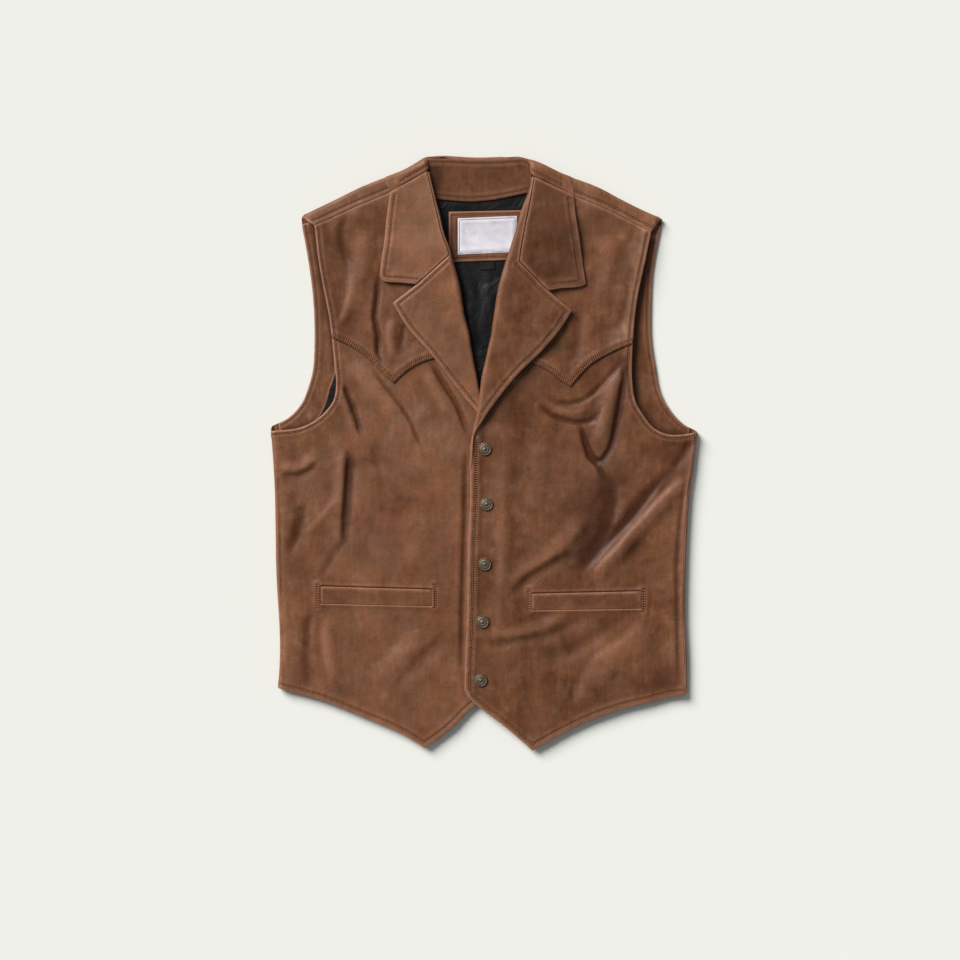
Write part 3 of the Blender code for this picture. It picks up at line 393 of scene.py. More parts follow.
# Soft swellings of the fronts beside their borders: the line, its reach inwards and its height
Swelling = namedtuple("Swelling", "line side reach height")
SWELLINGS = (
    Swelling(SIDE, "left", 36, 2.5),
    Swelling(SIDE, "right", 36, 2.5),
    Swelling(SHOULDER_SEAM, "left", 55, 1.5),
    Swelling(SHOULDER_SEAM, "right", 55, 1.5),
    Swelling(FRONT_ARMHOLE, "left", 34, 4.4),
    Swelling(FRONT_ARMHOLE, "right", 30, 2.6),
    Swelling(HEM, "left", 22, 0.8),
    Swelling(HEM, "right", 22, 0.8),
)

# Folds of the lining in the neck opening: the curve, the half width and the height
LINING_FOLDS = (
    (((-30, 222), (-14, 190), (-10, 150)), 12, 1.6),
    (((6, 226), (2, 180), (-4, 130)), 11, 1.8),
    (((22, 216), (12, 190), (2, 160)), 10, 1.2),
    (((-24, 190), (-16, 160), (-12, 120)), 9, 1.2),
)

# The turned-back lapel and collar from the break up to the shoulder: the share of the way along the roll,
# the height there, its rise per millimetre outwards, and the roll's radius and turn in degrees
TurnStation = namedtuple("TurnStation", "run top rise radius turn")
SEAM_TOP = 2 * (SHOULDER_RADIUS + RAISE)
TURN_STATIONS = {
    "left": (
        TurnStation(0.00, 10.5, 0.00, 1.2, 70),
        TurnStation(0.06, 11.4, 0.00, 2.2, 75),
        TurnStation(0.117, 13.6, 0.00, 3.2, 80),
        TurnStation(0.206, 16.2, 0.00, 4.0, 95),
        TurnStation(0.267, 17.2, -0.01, 4.4, 105),
        TurnStation(0.426, 18.0, -0.04, 5.0, 172),
        TurnStation(0.735, 19.6, -0.09, 5.0, 172),
        TurnStation(1.00, SEAM_TOP, 0.00, 5.0, 172),
    ),
    "right": (
        TurnStation(0.00, 10.6, 0.00, 3.2, 120),
        TurnStation(0.18, 10.8, 0.00, 3.2, 120),
        TurnStation(0.30, 14.0, -0.005, 4.4, 150),
        TurnStation(0.45, 16.6, -0.04, 5.0, 172),
        TurnStation(0.70, 19.6, -0.09, 5.0, 172),
        TurnStation(1.00, SEAM_TOP, 0.00, 5.0, 172),
    ),
}

# The photograph's scale and the pixel at the drawing's origin
PHOTO_MM = 1.2178
PHOTO_ORIGIN = (484.5, 451.8)

# Troughs and ridges of the fronts and yokes: points in the photograph's pixels, the widths of the slopes to
# the left and right of the line's run in millimetres, the height, and how much painted shade darkens the
# leather there
Crease = namedtuple("Crease", "points left right height dark", defaults=(0.0,))
CREASES = (
    # Wearer's right front
    Crease(((339, 385), (348, 410), (356, 436)), 5, 10, 1.3),
    Crease(((342, 380), (348, 397), (355, 415), (362, 440)), 9, 4, -2.6, 1.2),
    Crease(((350, 356), (372, 386), (402, 422)), 18, 18, 2.2),
    Crease(((370, 364), (384, 385), (397, 401), (409, 418), (417, 436), (426, 456)), 4, 5, -1.9, 0.6),
    Crease(((424, 368), (438, 392), (452, 420)), 10, 14, 1.8),
    Crease(((429, 360), (445, 386), (458, 408), (469, 440)), 8, 5, -3.2, 0.6),
    Crease(((457, 383), (475, 404), (494, 435)), 24, 24, -1.4),
    Crease(((343, 446), (342, 480), (339, 520)), 8, 16, 1.6),
    Crease(((350, 444), (348.5, 475), (346, 508), (343, 552)), 14, 8, -2.6, 1.5),
    Crease(((277, 467), (297, 470), (322, 456)), 14, 5, 1.9),
    Crease(((280, 474), (299, 476), (318, 465)), 4, 11, -1.5),
    Crease(((303, 500), (303, 518), (297, 538), (288, 556)), 10, 17, -1.7, 0.3),
    Crease(((338, 498), (322, 518), (304, 538)), 8, 7, 0.9),
    Crease(((347, 538), (332, 560), (320, 582)), 9, 12, -1.1),
    Crease(((326, 612), (328, 650), (338, 688)), 14, 9, 1.6),
    Crease(((312, 604), (308, 650), (312, 692)), 9, 15, -1.6),
    Crease(((430, 632), (400, 655), (368, 688)), 17, 17, 1.3),
    Crease(((446, 634), (420, 660), (392, 692)), 20, 12, -1.4),
    Crease(((467, 436), (466.5, 460), (466, 520), (463.5, 600), (462, 690)), 4, 9, -2.2, 0.7),
    Crease(((360, 560), (372, 600), (378, 650)), 30, 30, 1.4),
    Crease(((412, 470), (418, 530), (410, 580)), 26, 26, 1.2),
    Crease(((376, 436), (378, 460), (386, 500)), 9, 12, -0.9),
    # Wearer's left front
    Crease(((542, 392), (558, 404), (580, 403), (598, 391), (614, 373), (629, 356)), 9, 5, -1.9),
    Crease(((538, 402), (552, 416), (576, 423), (596, 420), (601, 404)), 8, 5, -2.2, 0.5),
    Crease(((550, 410), (575, 413), (590, 408)), 6, 6, 0.8),
    Crease(((620, 366), (611, 395), (605, 425), (600, 450)), 14, 19, 4.2),
    Crease(((628, 352), (622.5, 388), (619.5, 410), (615.5, 430), (610, 450), (603, 460), (596, 462),
            (590, 456), (586, 444), (582, 430), (578, 416)), 8, 7, -2.4, 2.3),
    Crease(((582, 426), (586, 442), (593, 456), (601, 470), (606, 484)), 7, 8, -1.0, 0.9),
    Crease(((604, 468), (615, 500), (600, 545), (575, 578)), 10, 32, -2.4),
    Crease(((668, 470), (650, 496), (629, 522), (604, 548), (580, 576)), 6, 24, -2.6, 0.75),
    Crease(((698, 474), (676, 487), (656, 508), (642, 523), (629, 538), (614, 555), (599, 571), (594, 590)),
           17, 9, 3.0),
    Crease(((590, 505), (572, 535), (548, 558), (515, 578), (498, 600)), 12, 20, 1.9),
    Crease(((586, 550), (555, 562), (530, 578), (506, 604)), 14, 10, -1.4),
    Crease(((580, 606), (545, 626), (510, 634), (478, 637)), 8, 13, 1.1),
    Crease(((586, 616), (548, 635), (512, 642), (480, 645)), 12, 8, -1.2),
    Crease(((628, 612), (604, 630), (580, 647), (552, 660)), 16, 20, -1.3),
    Crease(((655, 612), (630, 640), (600, 662), (584, 690), (572, 722)), 30, 14, 1.9),
    Crease(((552, 640), (552, 672), (546, 712)), 16, 18, -1.2),
    Crease(((688, 452), (681, 510), (677, 560), (677, 620), (679, 700)), 6, 6, -0.8, 0.7),
    Crease(((276, 440), (279.5, 500), (282, 600), (285, 700)), 4, 4, -0.8, 0.4),
    Crease(((500, 452), (503, 500), (502, 560), (498, 620), (494, 670)), 9, 14, 0.9),
    Crease(((512, 450), (514, 520), (510, 600)), 26, 8, -0.7),
    Crease(((540, 430), (536, 480), (528, 520)), 22, 22, 1.2),
    Crease(((690, 438), (684, 456), (672, 470)), 10, 10, -1.6),
    # Yokes
    Crease(((379, 270), (378, 298), (375.5, 318), (379, 336), (379, 352), (384, 370)), 6, 8, -3.6, 1.1),
    Crease(((337, 330), (345, 316), (351, 296), (352, 270)), 7, 9, 1.5),
    Crease(((368, 222), (362, 262), (350, 322)), 17, 20, 2.2),
    Crease(((346, 212), (343, 240), (352, 272)), 10, 12, -2.0),
    Crease(((394, 316), (391, 340), (396, 364)), 9, 9, 1.8),
    Crease(((405, 322), (402, 348)), 7, 6, -1.4),
    Crease(((612, 232), (606, 270), (600, 320)), 26, 20, 1.8),
    Crease(((632, 262), (628, 300), (618, 336)), 9, 12, -1.6),
    Crease(((578, 300), (580, 330), (574, 362)), 12, 16, -1.4),
)

# Soft patches of painted light and painted shade, in places also the waxed leather's own lighter and darker
# patches:
# the middle in the photograph's pixels, the half widths in millimetres, the turn in degrees, and the tone
Tone = namedtuple("Tone", "x y wide high turn tone")
LIGHT_AND_SHADE_PATCHES = (
    Tone(606, 492, 26, 38, -8, -0.85),
    Tone(596, 526, 26, 30, -30, -0.85),
    Tone(582, 556, 16, 32, -42, -0.7),
    Tone(348, 482, 5, 24, 4, -0.7),
    Tone(625, 520, 12, 20, -35, -0.4),
    Tone(434, 180, 11, 30, 0, -1.2),
    Tone(530, 370, 16, 14, -45, -0.5),
    Tone(505, 404, 10, 22, -45, -0.5),
    Tone(594, 458, 10, 12, 20, -0.6),
    Tone(481, 437, 5, 9, -35, -1.2),
    Tone(476, 452, 4, 14, -5, -0.7),
    Tone(335, 395, 3, 30, 8, -0.4),
    Tone(640, 440, 16, 14, 0, 0.35),
    Tone(388, 345, 6, 20, 0, 0.45),
    Tone(631, 545, 11, 18, -35, -0.9),
    Tone(664, 478, 6, 18, -40, -0.7),
    Tone(686, 458, 13, 22, 0, -0.6),
    Tone(660, 676, 26, 18, 20, -0.6),
    Tone(545, 560, 12, 40, -40, 0.35),
    Tone(622, 652, 46, 22, 30, 0.55),
    Tone(560, 645, 34, 10, 22, -0.5),
    Tone(524, 690, 10, 30, 0, -0.4),
    Tone(494, 482, 9, 34, 0, 0.4),
    Tone(660, 540, 12, 50, 0, 0.3),
    Tone(520, 400, 30, 22, 0, -0.35),
    Tone(290, 446, 13, 9, 0, -0.45),
    Tone(281, 484, 10, 9, 0, -0.5),
    Tone(291, 500, 8, 12, 0, -0.4),
    Tone(296, 526, 9, 22, -10, -0.45),
    Tone(375, 452, 12, 14, 0, -0.65),
    Tone(400, 503, 32, 11, 0, -0.45),
    Tone(356, 376, 12, 34, 40, 0.45),
    Tone(442, 470, 16, 46, 0, 0.25),
    Tone(308, 650, 11, 60, 0, -0.4),
    Tone(328, 650, 8, 46, 0, 0.35),
    Tone(340, 240, 14, 26, 0, -0.5),
    Tone(362, 300, 14, 40, 0, 0.3),
    Tone(612, 236, 34, 14, -20, 0.35),
)

# The tones of whole pieces, partly their own colour and partly painted light and shade for how each piece
# faces the light
PIECE_TONE_AND_LIGHT = {
    "collar_right": 0.66, "lapel_right": 0.5, "collar_left": -0.5, "lapel_left": -0.04, "neck_band": -0.1,
    "welt_left": -0.2, "welt_right": 0.1, "front_right": 0.3, "front_left": -0.12,
}


def blend(first, last, start, end, at):
    """The value at a place between start and end, on a straight run from first to last."""
    return first + (last - first) * (at - start) / (end - start)


def smooth(points, step=SAMPLE):
    """Points along a smooth curve through the given ones, about a step apart."""
    given = np.array(points, float)
    before = 2 * given[0] - given[1]
    after = 2 * given[-1] - given[-2]
    padded = np.vstack((before, given, after))
    found = [given[0]]
    for a, b, c, d in zip(padded, padded[1:], padded[2:], padded[3:]):
        knots = [0.0]
        for start, end in ((a, b), (b, c), (c, d)):
            knots.append(knots[-1] + max(np.linalg.norm(end - start), TINY) ** 0.5)
        pieces = max(1, round(np.linalg.norm(c - b) / step))
        for part in range(1, pieces + 1):
            at = knots[1] + (knots[2] - knots[1]) * part / pieces
            ab = blend(a, b, knots[0], knots[1], at)
            bc = blend(b, c, knots[1], knots[2], at)
            cd = blend(c, d, knots[2], knots[3], at)
            abc = blend(ab, bc, knots[0], knots[2], at)
            bcd = blend(bc, cd, knots[1], knots[3], at)
            found.append(blend(abc, bcd, knots[1], knots[2], at))
    return np.array(found)


def straight(points, step=SAMPLE):
    """Points along straight runs between the given ones, about a step apart."""
    given = np.array(points, float)
    found = [given[0]]
    for a, b in zip(given, given[1:]):
        pieces = max(1, round(np.linalg.norm(b - a) / step))
        found.extend(a + (b - a) * part / pieces for part in range(1, pieces + 1))
    return np.array(found)


def left_normals(line):
    """The direction to the left of an open line at each of its points."""
    run = np.gradient(line, axis=0)
    run /= np.linalg.norm(run, axis=1, keepdims=True)
    return np.column_stack((-run[:, 1], run[:, 0]))


def moved(line, distance):
    """The line moved to its left by a distance, or by one distance for each point."""
    return line + left_normals(line) * np.reshape(distance, (-1, 1))


def stretch(line, start, end):
    """The samples of a line from the one nearest start to the one nearest end."""
    first = np.argmin(np.linalg.norm(line - start, axis=1))
    last = np.argmin(np.linalg.norm(line - end, axis=1))
    if first <= last:
        return line[first:last + 1]
    return line[last:first + 1][::-1]


def clipped(line, clear):
    """The stretch of a line where a function of its points is positive, ending where that is zero."""
    values = clear(line)
    found = []
    for number, (point, value) in enumerate(zip(line, values)):
        if number and (values[number - 1] > 0) != (value > 0):
            share = values[number - 1] / (values[number - 1] - value)
            found.append(line[number - 1] + (point - line[number - 1]) * share)
        if value > 0:
            found.append(point)
    return np.array(found)


def ring(*lines):
    """Lines joined end to end into a closed outline, anticlockwise and without doubled points."""
    points = np.vstack(lines)
    far = np.linalg.norm(points - np.roll(points, 1, axis=0), axis=1) > JOIN_GAP
    points = points[far]
    x, y = points.T
    area = (x * np.roll(y, -1) - y * np.roll(x, -1)).sum()
    return points if area > 0 else points[::-1]


def nearest(points, line):
    """For each point: distance to the line, side (1 on its left), foot, and run along it from 0 to 1."""
    starts = line[:-1]
    runs = line[1:] - starts
    lengths = np.linalg.norm(runs, axis=1)
    before = np.concatenate(([0], np.cumsum(lengths)[:-1]))
    gaps, sides, feet, shares = [], [], [], []
    for first in range(0, len(points), CHUNK):
        part = points[first:first + CHUNK]
        offsets = part[:, None] - starts[None]
        along = np.clip((offsets * runs[None]).sum(2) / lengths ** 2, 0, 1)
        found = starts[None] + runs[None] * along[..., None]
        apart = np.linalg.norm(part[:, None] - found, axis=2)
        best = apart.argmin(1)
        rows = np.arange(len(part))
        cross = runs[best, 0] * offsets[rows, best, 1] - runs[best, 1] * offsets[rows, best, 0]
        gaps.append(apart[rows, best])
        sides.append(np.where(cross >= 0, 1.0, -1.0))
        feet.append(found[rows, best])
        shares.append((before[best] + along[rows, best] * lengths[best]) / lengths.sum())
    if not gaps:
        return np.zeros(0), np.zeros(0), np.zeros((0, 2)), np.zeros(0)
    return np.concatenate(gaps), np.concatenate(sides), np.vstack(feet), np.concatenate(shares)


def near_box(points, line, reach):
    """The rows of the points that lie within a reach of a line's box."""
    low = line.min(0) - reach
    high = line.max(0) + reach
    return np.flatnonzero(((points >= low) & (points <= high)).all(1))


def fade(value, start, end):
    """0 at start and before it, 1 at end and past it, and smooth between them."""
    t = np.clip((value - start) / (end - start), 0, 1)
    return t * t * (3 - 2 * t)


def slopes(points, curve, left, right, ends):
    """The rows of the points near a curve, how far up its slopes they are, and how far from its ends."""
    line = smooth(curve, COARSE_SAMPLE)
    rows = near_box(points, line, max(left, right))
    gap, side, _, run = nearest(points[rows], line)
    across = 0.5 + 0.5 * np.cos(np.pi * np.clip(gap / np.where(side > 0, left, right), 0, 1))
    return rows, across, fade(run, 0, ends) * fade(run, 1, 1 - ends)


def from_photo(points):
    """Drawing points of the photograph's pixels."""
    return (np.array(points, float) - PHOTO_ORIGIN) * (PHOTO_MM, -PHOTO_MM)


def creased(points, share=1.0):
    """The sums of the creases' heights and painted shade at each point, within a share of their widths."""
    height = np.zeros(len(points))
    dark = np.zeros(len(points))
    for crease in CREASES:
        rows, across, along = slopes(
            points, from_photo(crease.points), crease.left * share, crease.right * share, CREASE_ENDS,
        )
        sharp = TROUGH_SHARPNESS if crease.height < 0 else 1.0
        height[rows] += crease.height * across ** sharp * along
        dark[rows] += crease.dark * across * along
    return height, dark


def front_shade_and_tone(points):
    """The painted shade and light of the fronts' leather at each point, with the dark along the armholes'
    rows, below 0 where it is darker.
    """
    tone = -creased(points, CREASE_SHADE_SHARE)[1]
    for side in SIDE:
        tone -= ARM_ROW_DARK * np.exp(-(gap_to(points, front_arm_row(side))[0] / ARM_ROW_WIDTH) ** 2)
    for patch in LIGHT_AND_SHADE_PATCHES:
        away = points - from_photo((patch.x, patch.y))
        turn = math.radians(patch.turn)
        along = away[:, 0] * math.cos(turn) + away[:, 1] * math.sin(turn)
        across = away[:, 1] * math.cos(turn) - away[:, 0] * math.sin(turn)
        tone += patch.tone * np.exp(-(along / patch.wide) ** 2 - (across / patch.high) ** 2)
    return tone


def uneven(points, kinds):
    """The sum of several kinds of smooth noise at each point."""
    return sum(height * unevenness(points, size, seed) for size, height, seed in kinds)


def unevenness(points, size, seed):
    """Smooth noise from -1 to 1 over cells of a size."""
    table = np.random.default_rng(seed).uniform(-1, 1, (NOISE_CELLS, NOISE_CELLS))
    cell = points / size
    base = np.floor(cell).astype(int)
    x, y = (cell - base).T
    x = x * x * x * (x * (x * 6 - 15) + 10)
    y = y * y * y * (y * (y * 6 - 15) + 10)
    i, j = base.T % NOISE_CELLS
    after_i, after_j = (base.T + 1) % NOISE_CELLS
    low = table[i, j] * (1 - x) + table[after_i, j] * x
    high = table[i, after_j] * (1 - x) + table[after_i, after_j] * x
    return low * (1 - y) + high * y


def outwards(point):
    """How far out to either side a point is."""
    return abs(point[0])


def upwards(point):
    """How far up a point is."""
    return point[1]


def rising(line, value):
    """The line, turned round if need be, so that a value of its points rises from end to end."""
    return line if value(line[0]) < value(line[-1]) else line[::-1]


def oriented(line, inner_point):
    """The line, turned round if need be, so that the inner point lies to its left."""
    _, side, _, _ = nearest(np.array([inner_point], float), line)
    return line if side[0] > 0 else line[::-1]


class Border:
    """A line where a sheet rolls over, with the sheet to its left, and the roll's outer radius along it."""

    def __init__(self, points, radius, inner_point, extend=BORDER_EXTENSION):
        line = oriented(smooth(points), inner_point)
        first = line[0] + (line[0] - line[1]) / np.linalg.norm(line[0] - line[1]) * extend
        last = line[-1] + (line[-1] - line[-2]) / np.linalg.norm(line[-1] - line[-2]) * extend
        self.edge = line
        self.line = np.vstack((first, line, last))
        a_little = GUIDE_EXTENSION / extend
        self.guide = np.vstack((
            line[0] + (first - line[0]) * a_little, line, line[-1] + (last - line[-1]) * a_little,
        ))
        self.length = np.linalg.norm(np.diff(line, axis=0), axis=1).sum()
        self.extend = extend
        self.upwards = line[-1][1] > line[0][1]
        self.stations = np.array(radius if np.ndim(radius) else ((0, radius), (1, radius)), float)

    def measure(self, points):
        """For each point: its distance inside the line, its foot, and its run from the low end, 0 to 1."""
        gap, side, feet, run = nearest(points, self.line)
        along = (run * (self.length + 2 * self.extend) - self.extend) / self.length
        along = np.clip(along, 0, 1)
        return gap * side, feet, along if self.upwards else 1 - along

    def radius_at(self, run):
        """The roll's outer radius at a run."""
        return np.interp(run, self.stations[:, 0], self.stations[:, 1])

    def roll(self, points, outer, depth, sense):
        """Points at a depth below a sheet's outer face, rolled. sense is 1 if the sheet rolls downwards."""
        inside, feet, run = self.measure(points)
        radius = self.radius_at(run)
        past = radius - inside
        turn = np.clip(past / radius, 0, np.pi)
        beyond = np.maximum(past - np.pi * radius, 0)
        inwards = (points - feet) / np.where(abs(inside) < TINY, TINY, inside)[:, None]
        reach = radius - (radius - depth) * np.sin(turn) + beyond
        flat = past <= 0
        placed = np.where(flat[:, None], points, feet + inwards * reach[:, None])
        curved = outer - sense * (radius - (radius - depth) * np.cos(turn))
        return placed, np.where(flat, outer - sense * depth, curved)

    def unroll(self, points):
        """Where points of the sheet's far layer, past the roll, lie in the flat outline."""
        inside, feet, run = self.measure(points)
        radius = self.radius_at(run)
        inwards = (points - feet) / inside[:, None]
        return feet - inwards * (np.pi * radius + inside - 2 * radius)[:, None]

    def outside(self, turn, line=None):
        """The line in the flat outline where the roll has turned by an angle, or by one for each run."""
        line = self.edge if line is None else line
        _, _, run = self.measure(line)
        turned = turn(run) if callable(turn) else turn
        return moved(line, self.radius_at(run) * (1 - turned))

    def guides(self, most_turn, every=2):
        """Lines in the flat outline where the roll has turned by each step, through every few points."""
        line = np.vstack((self.guide[:-1:every], self.guide[-1:]))
        return [self.outside(turn, line) for turn in np.arange(0, most_turn, ROLL_STEP)]


CHEST = (0.0, 0.0)
TURNED_MIDDLE = {"left": (80, 180), "right": (-80, 180)}
SIDE_BORDER = {side: Border(SIDE[side], SIDE_RADIUS, CHEST) for side in SIDE}
SHOULDER_BORDER = {side: Border(SHOULDER_FOLD[side], SHOULDER_RADIUS, CHEST) for side in SIDE}
TURN_BORDER = {
    side: Border(
        LAPEL_ROLL[side], [(row.run, row.radius) for row in TURN_STATIONS[side]], TURNED_MIDDLE[side],
    )
    for side in SIDE
}


def raised(points):
    """How far the back collar lifts what lies over it."""
    up = np.clip((points[:, 1] - RAISE_FROM_Y) / (RAISE_TO_Y - RAISE_FROM_Y), 0, 1)
    across = np.clip((RAISE_FROM_X - abs(points[:, 0])) / (RAISE_FROM_X - RAISE_TO_X), 0, 1)
    return RAISE * up * across


def front_height(points):
    """Height of the outer face of the lower layer of the fronts."""
    swollen = np.zeros(len(points))
    for swelling in SWELLINGS:
        gap = nearest(points, smooth(swelling.line[swelling.side], COARSE_SAMPLE))[0]
        swollen = np.maximum(swollen, swelling.height * fade(gap, swelling.reach, 0))
    top = FRONT_TOP + swollen + creased(points)[0] + uneven(points, UNEVENNESS)
    for centre in SNAPS:
        away = np.linalg.norm(points - centre, axis=1)
        top += (FRONT_TOP - top) * fade(away, SNAP_SEAT * 2, SNAP_SEAT)
    above = top - LOWEST_FRONT_TOP
    soft = LOWEST_FRONT_TOP + 0.5 * (above + np.sqrt(above * above + CLAMP_SOFTNESS ** 2))
    return soft + raised(points)


def closure_lift(x):
    """How far the left front is lifted where it laps over the right one."""
    under_edge = max(edge_x for edge_x, _ in FRONT_EDGE["right"])
    return LAY * fade(x - under_edge, *CLOSURE_FADE)


def yoke_lift(points, side):
    """How far a yoke is lifted where it laps over the front below it."""
    edge = np.vstack((YOKE_EDGE[side], YOKE_EDGE_INNER[side])).astype(float)
    edge = edge[np.argsort(edge[:, 0])]
    above = points[:, 1] - np.interp(points[:, 0], edge[:, 0], edge[:, 1])
    return LAY * fade(above, *YOKE_FADE)


def turned_at(side, run, column):
    """A column of the turned-back lapel's table at a run."""
    rows = TURN_STATIONS[side]
    return np.interp(run, [row.run for row in rows], [getattr(row, column) for row in rows])


def turned_height(points, side):
    """Height of the outer face of a lapel and its collar leaf."""
    inside, _, run = TURN_BORDER[side].measure(points)
    rise = turned_at(side, run, "rise") * np.maximum(inside - TURN_BORDER[side].radius_at(run), 0)
    return turned_at(side, run, "top") + rise


def lining_height(points):
    """Height of the lining's upper face."""
    folds = np.zeros(len(points))
    for curve, width, height in LINING_FOLDS:
        rows, across, along = slopes(points, curve, width, width, FOLD_ENDS)
        folds[rows] += height * across * along
    return LEATHER + SEAM + LINING + folds + raised(points)


def place_front(lift):
    """A way to place points of a front sheet, lifted by a function of the points."""

    def place(points, depth):
        top = front_height(points) + lift(points)
        placed = points
        height = top - depth
        for border in SIDE_BORDER.values():
            inside, _, run = border.measure(points)
            near = inside < border.radius_at(run)
            rolled, rolled_height = border.roll(points, top, depth, 1)
            placed = np.where(near[:, None], rolled, placed)
            height = np.where(near, rolled_height, height)
        return placed, height

    return place


def place_turned(side):
    """A way to place points of a lapel or a collar leaf."""

    def place(points, depth):
        return TURN_BORDER[side].roll(points, turned_height(points, side), depth, 1)

    return place


def place_back(points, depth):
    """Points of the back: its outer face is its underside."""
    level = np.zeros(len(points)) + depth
    for border in (*SHOULDER_BORDER.values(), *SIDE_BORDER.values()):
        points, level = border.roll(points, 0.0, level, -1)
    return points, np.maximum(level + raised(points), UNDERSIDE)


def place_collar_back(points, depth):
    """Points of the back collar, which rolls over at the neck and lies outside the back."""
    clear = COLLAR_CLEAR + (COLLAR_END_CLEAR - COLLAR_CLEAR) * fade(abs(points[:, 0]), *COLLAR_THINS)
    points, level = NECK_BORDER.roll(points, -DOUBLED_LEATHER - clear, depth, -1)
    for border in SHOULDER_BORDER.values():
        points, level = border.roll(points, 0.0, level, -1)
    return points, level + raised(points)


def place_in_back(thickness):
    """A way to place points of a sheet of a thickness that lies on the back's inner face."""

    def place(points, depth):
        return points, LEATHER + SEAM + thickness - depth + raised(points)

    return place


def place_on_lining(thickness, below=0.0):
    """A way to place points of a sheet of a thickness over the lining, with what is below it."""

    def place(points, depth):
        return points, lining_height(points) + below + SEAM + thickness - depth

    return place


def place_lining(points, depth):
    """Points of the lining."""
    return points, lining_height(points) - depth


def place_neck_band(points, depth):
    """Points of the neck band, which slopes from the collar's roll down to the lining."""
    low = min(y for _, y in NECK_BAND_LOW)
    high = max(y for _, y in NECK_BAND_TOP)
    share = np.clip((points[:, 1] - low) / (high - low), 0, 1)
    bottom = lining_height(points) + LAY
    return points, bottom + (2 * NECK_RADIUS - bottom) * share ** BAND_SLOPE - depth


def seam_on_back(side):
    """The shoulder seam in the back's flat outline, from the neck out, half a seam gap short of it."""
    seam = oriented(smooth(SHOULDER_SEAM[side]), CHEST)
    return rising(SHOULDER_BORDER[side].unroll(moved(seam, -SEAM / 2)), outwards)


def seam_on_front(side):
    """The shoulder seam on the front, from the armhole to the neck, half a seam gap short of it."""
    return rising(moved(oriented(smooth(SHOULDER_SEAM[side]), CHEST), SEAM / 2), outwards)[::-1]


def yoke_line(side):
    """The lower edge of a yoke, from the armhole to the lapel."""
    return np.vstack((smooth(YOKE_EDGE[side]), smooth(YOKE_EDGE_INNER[side])[1:]))


def front_arm_row(side):
    """The sewn row along a front's armhole."""
    return inset(smooth(FRONT_ARMHOLE[side]), ARM_ROW, (INNER_X[side], CHEST_Y))


def closed(points, step=SAMPLE):
    """Points along the straight sides of a closed figure, back to the first."""
    return straight([*points, points[0]], step)


def neck_border():
    """The line in the back's flat outline where the collar folds over behind the neck."""
    ends = {side: seam_on_back(side)[0] for side in SIDE}
    return Border((ends["left"], *NECK_ROLL[::-1], ends["right"]), NECK_RADIUS, CHEST, NECK_EXTENSION)


NECK_BORDER = neck_border()


def within(points, outline):
    """True for each point inside a closed outline."""
    result = np.zeros(len(points), bool)
    for a, b in zip(outline, np.roll(outline, -1, axis=0)):
        crosses = (a[1] > points[:, 1]) != (b[1] > points[:, 1])
        if a[1] == b[1]:
            continue
        at = a[0] + (points[:, 1] - a[1]) / (b[1] - a[1]) * (b[0] - a[0])
        result ^= crosses & (points[:, 0] < at)
    return result


def front_rings():
    """The outlines of the fronts, yokes and welts."""
    rings = {}
    for side in SIDE:
        side_line = SIDE_BORDER[side].outside(math.pi - SIDE_TURN[side] - SEAM / 2 / SIDE_RADIUS)
        neck_edge = moved(TURN_BORDER[side].edge, NECK_EDGE)
        armhole = smooth(FRONT_ARMHOLE[side])
        yoke_edge = yoke_line(side)
        allowance = yoke_edge + (0, YOKE_ALLOWANCE)
        hem = smooth(HEM[side])
        front_edge = smooth(FRONT_EDGE[side], COARSE_SAMPLE)
        rings[f"front_{side}"] = ring(
            stretch(side_line, armhole[-1], hem[0]), hem[1:], smooth(HEM_POINT[side])[1:], front_edge[1:],
            stretch(neck_edge, front_edge[-1], allowance[-1])[1:], allowance[::-1][1:-1],
            stretch(armhole, allowance[0], armhole[-1])[:-1],
        )
        shoulder = clipped(seam_on_front(side), lambda line: TURN_BORDER[side].measure(line)[0] - NECK_EDGE)
        neck_down = stretch(neck_edge, shoulder[-1], yoke_edge[-1])
        neck_down = neck_down[neck_down[:, 1] < shoulder[-1][1] - END_GAP]
        arm_up = stretch(armhole, yoke_edge[0], armhole[0])
        rings[f"yoke_{side}"] = ring(arm_up[:-1], shoulder, neck_down, yoke_edge[::-1][1:-1])
        rings[f"welt_{side}"] = ring(closed(WELT[side])[:-1])
    return rings


def turned_rings(side):
    """The outlines of a lapel with its roll strip, and of its collar leaf."""
    under = TURN_BORDER[side].outside(lambda run: np.radians(turned_at(side, run, "turn")))
    under = rising(under, upwards)
    lapel_edge = smooth(LAPEL_EDGE[side])
    under = under[under[:, 1] > lapel_edge[-1][1] + LAPEL_END[side]]
    groove = smooth(COLLAR_GROOVE[side])
    gorge = straight(GORGE[side])
    collar_edge = smooth(COLLAR_EDGE[side])
    across = clipped(seam_on_front(side), lambda line: abs(collar_edge[-1][0]) - abs(line[:, 0]))
    across = clipped(across, lambda line: abs(line[:, 0]) - abs(groove[0][0]) - SEAM)
    aside = np.array((SEAM if side == "left" else -SEAM, 0))
    above = np.array((0, SEAM))
    lapel = ring(under, groove[:-1], gorge, straight(NOTCH[side])[1:], lapel_edge[1:])
    leaf = ring(
        groove[1:-1] + aside, gorge + aside + above, smooth(COLLAR_BOTTOM[side])[1:] + above,
        collar_edge[1:-1], across,
    )
    return {f"lapel_{side}": lapel, f"collar_{side}": leaf}


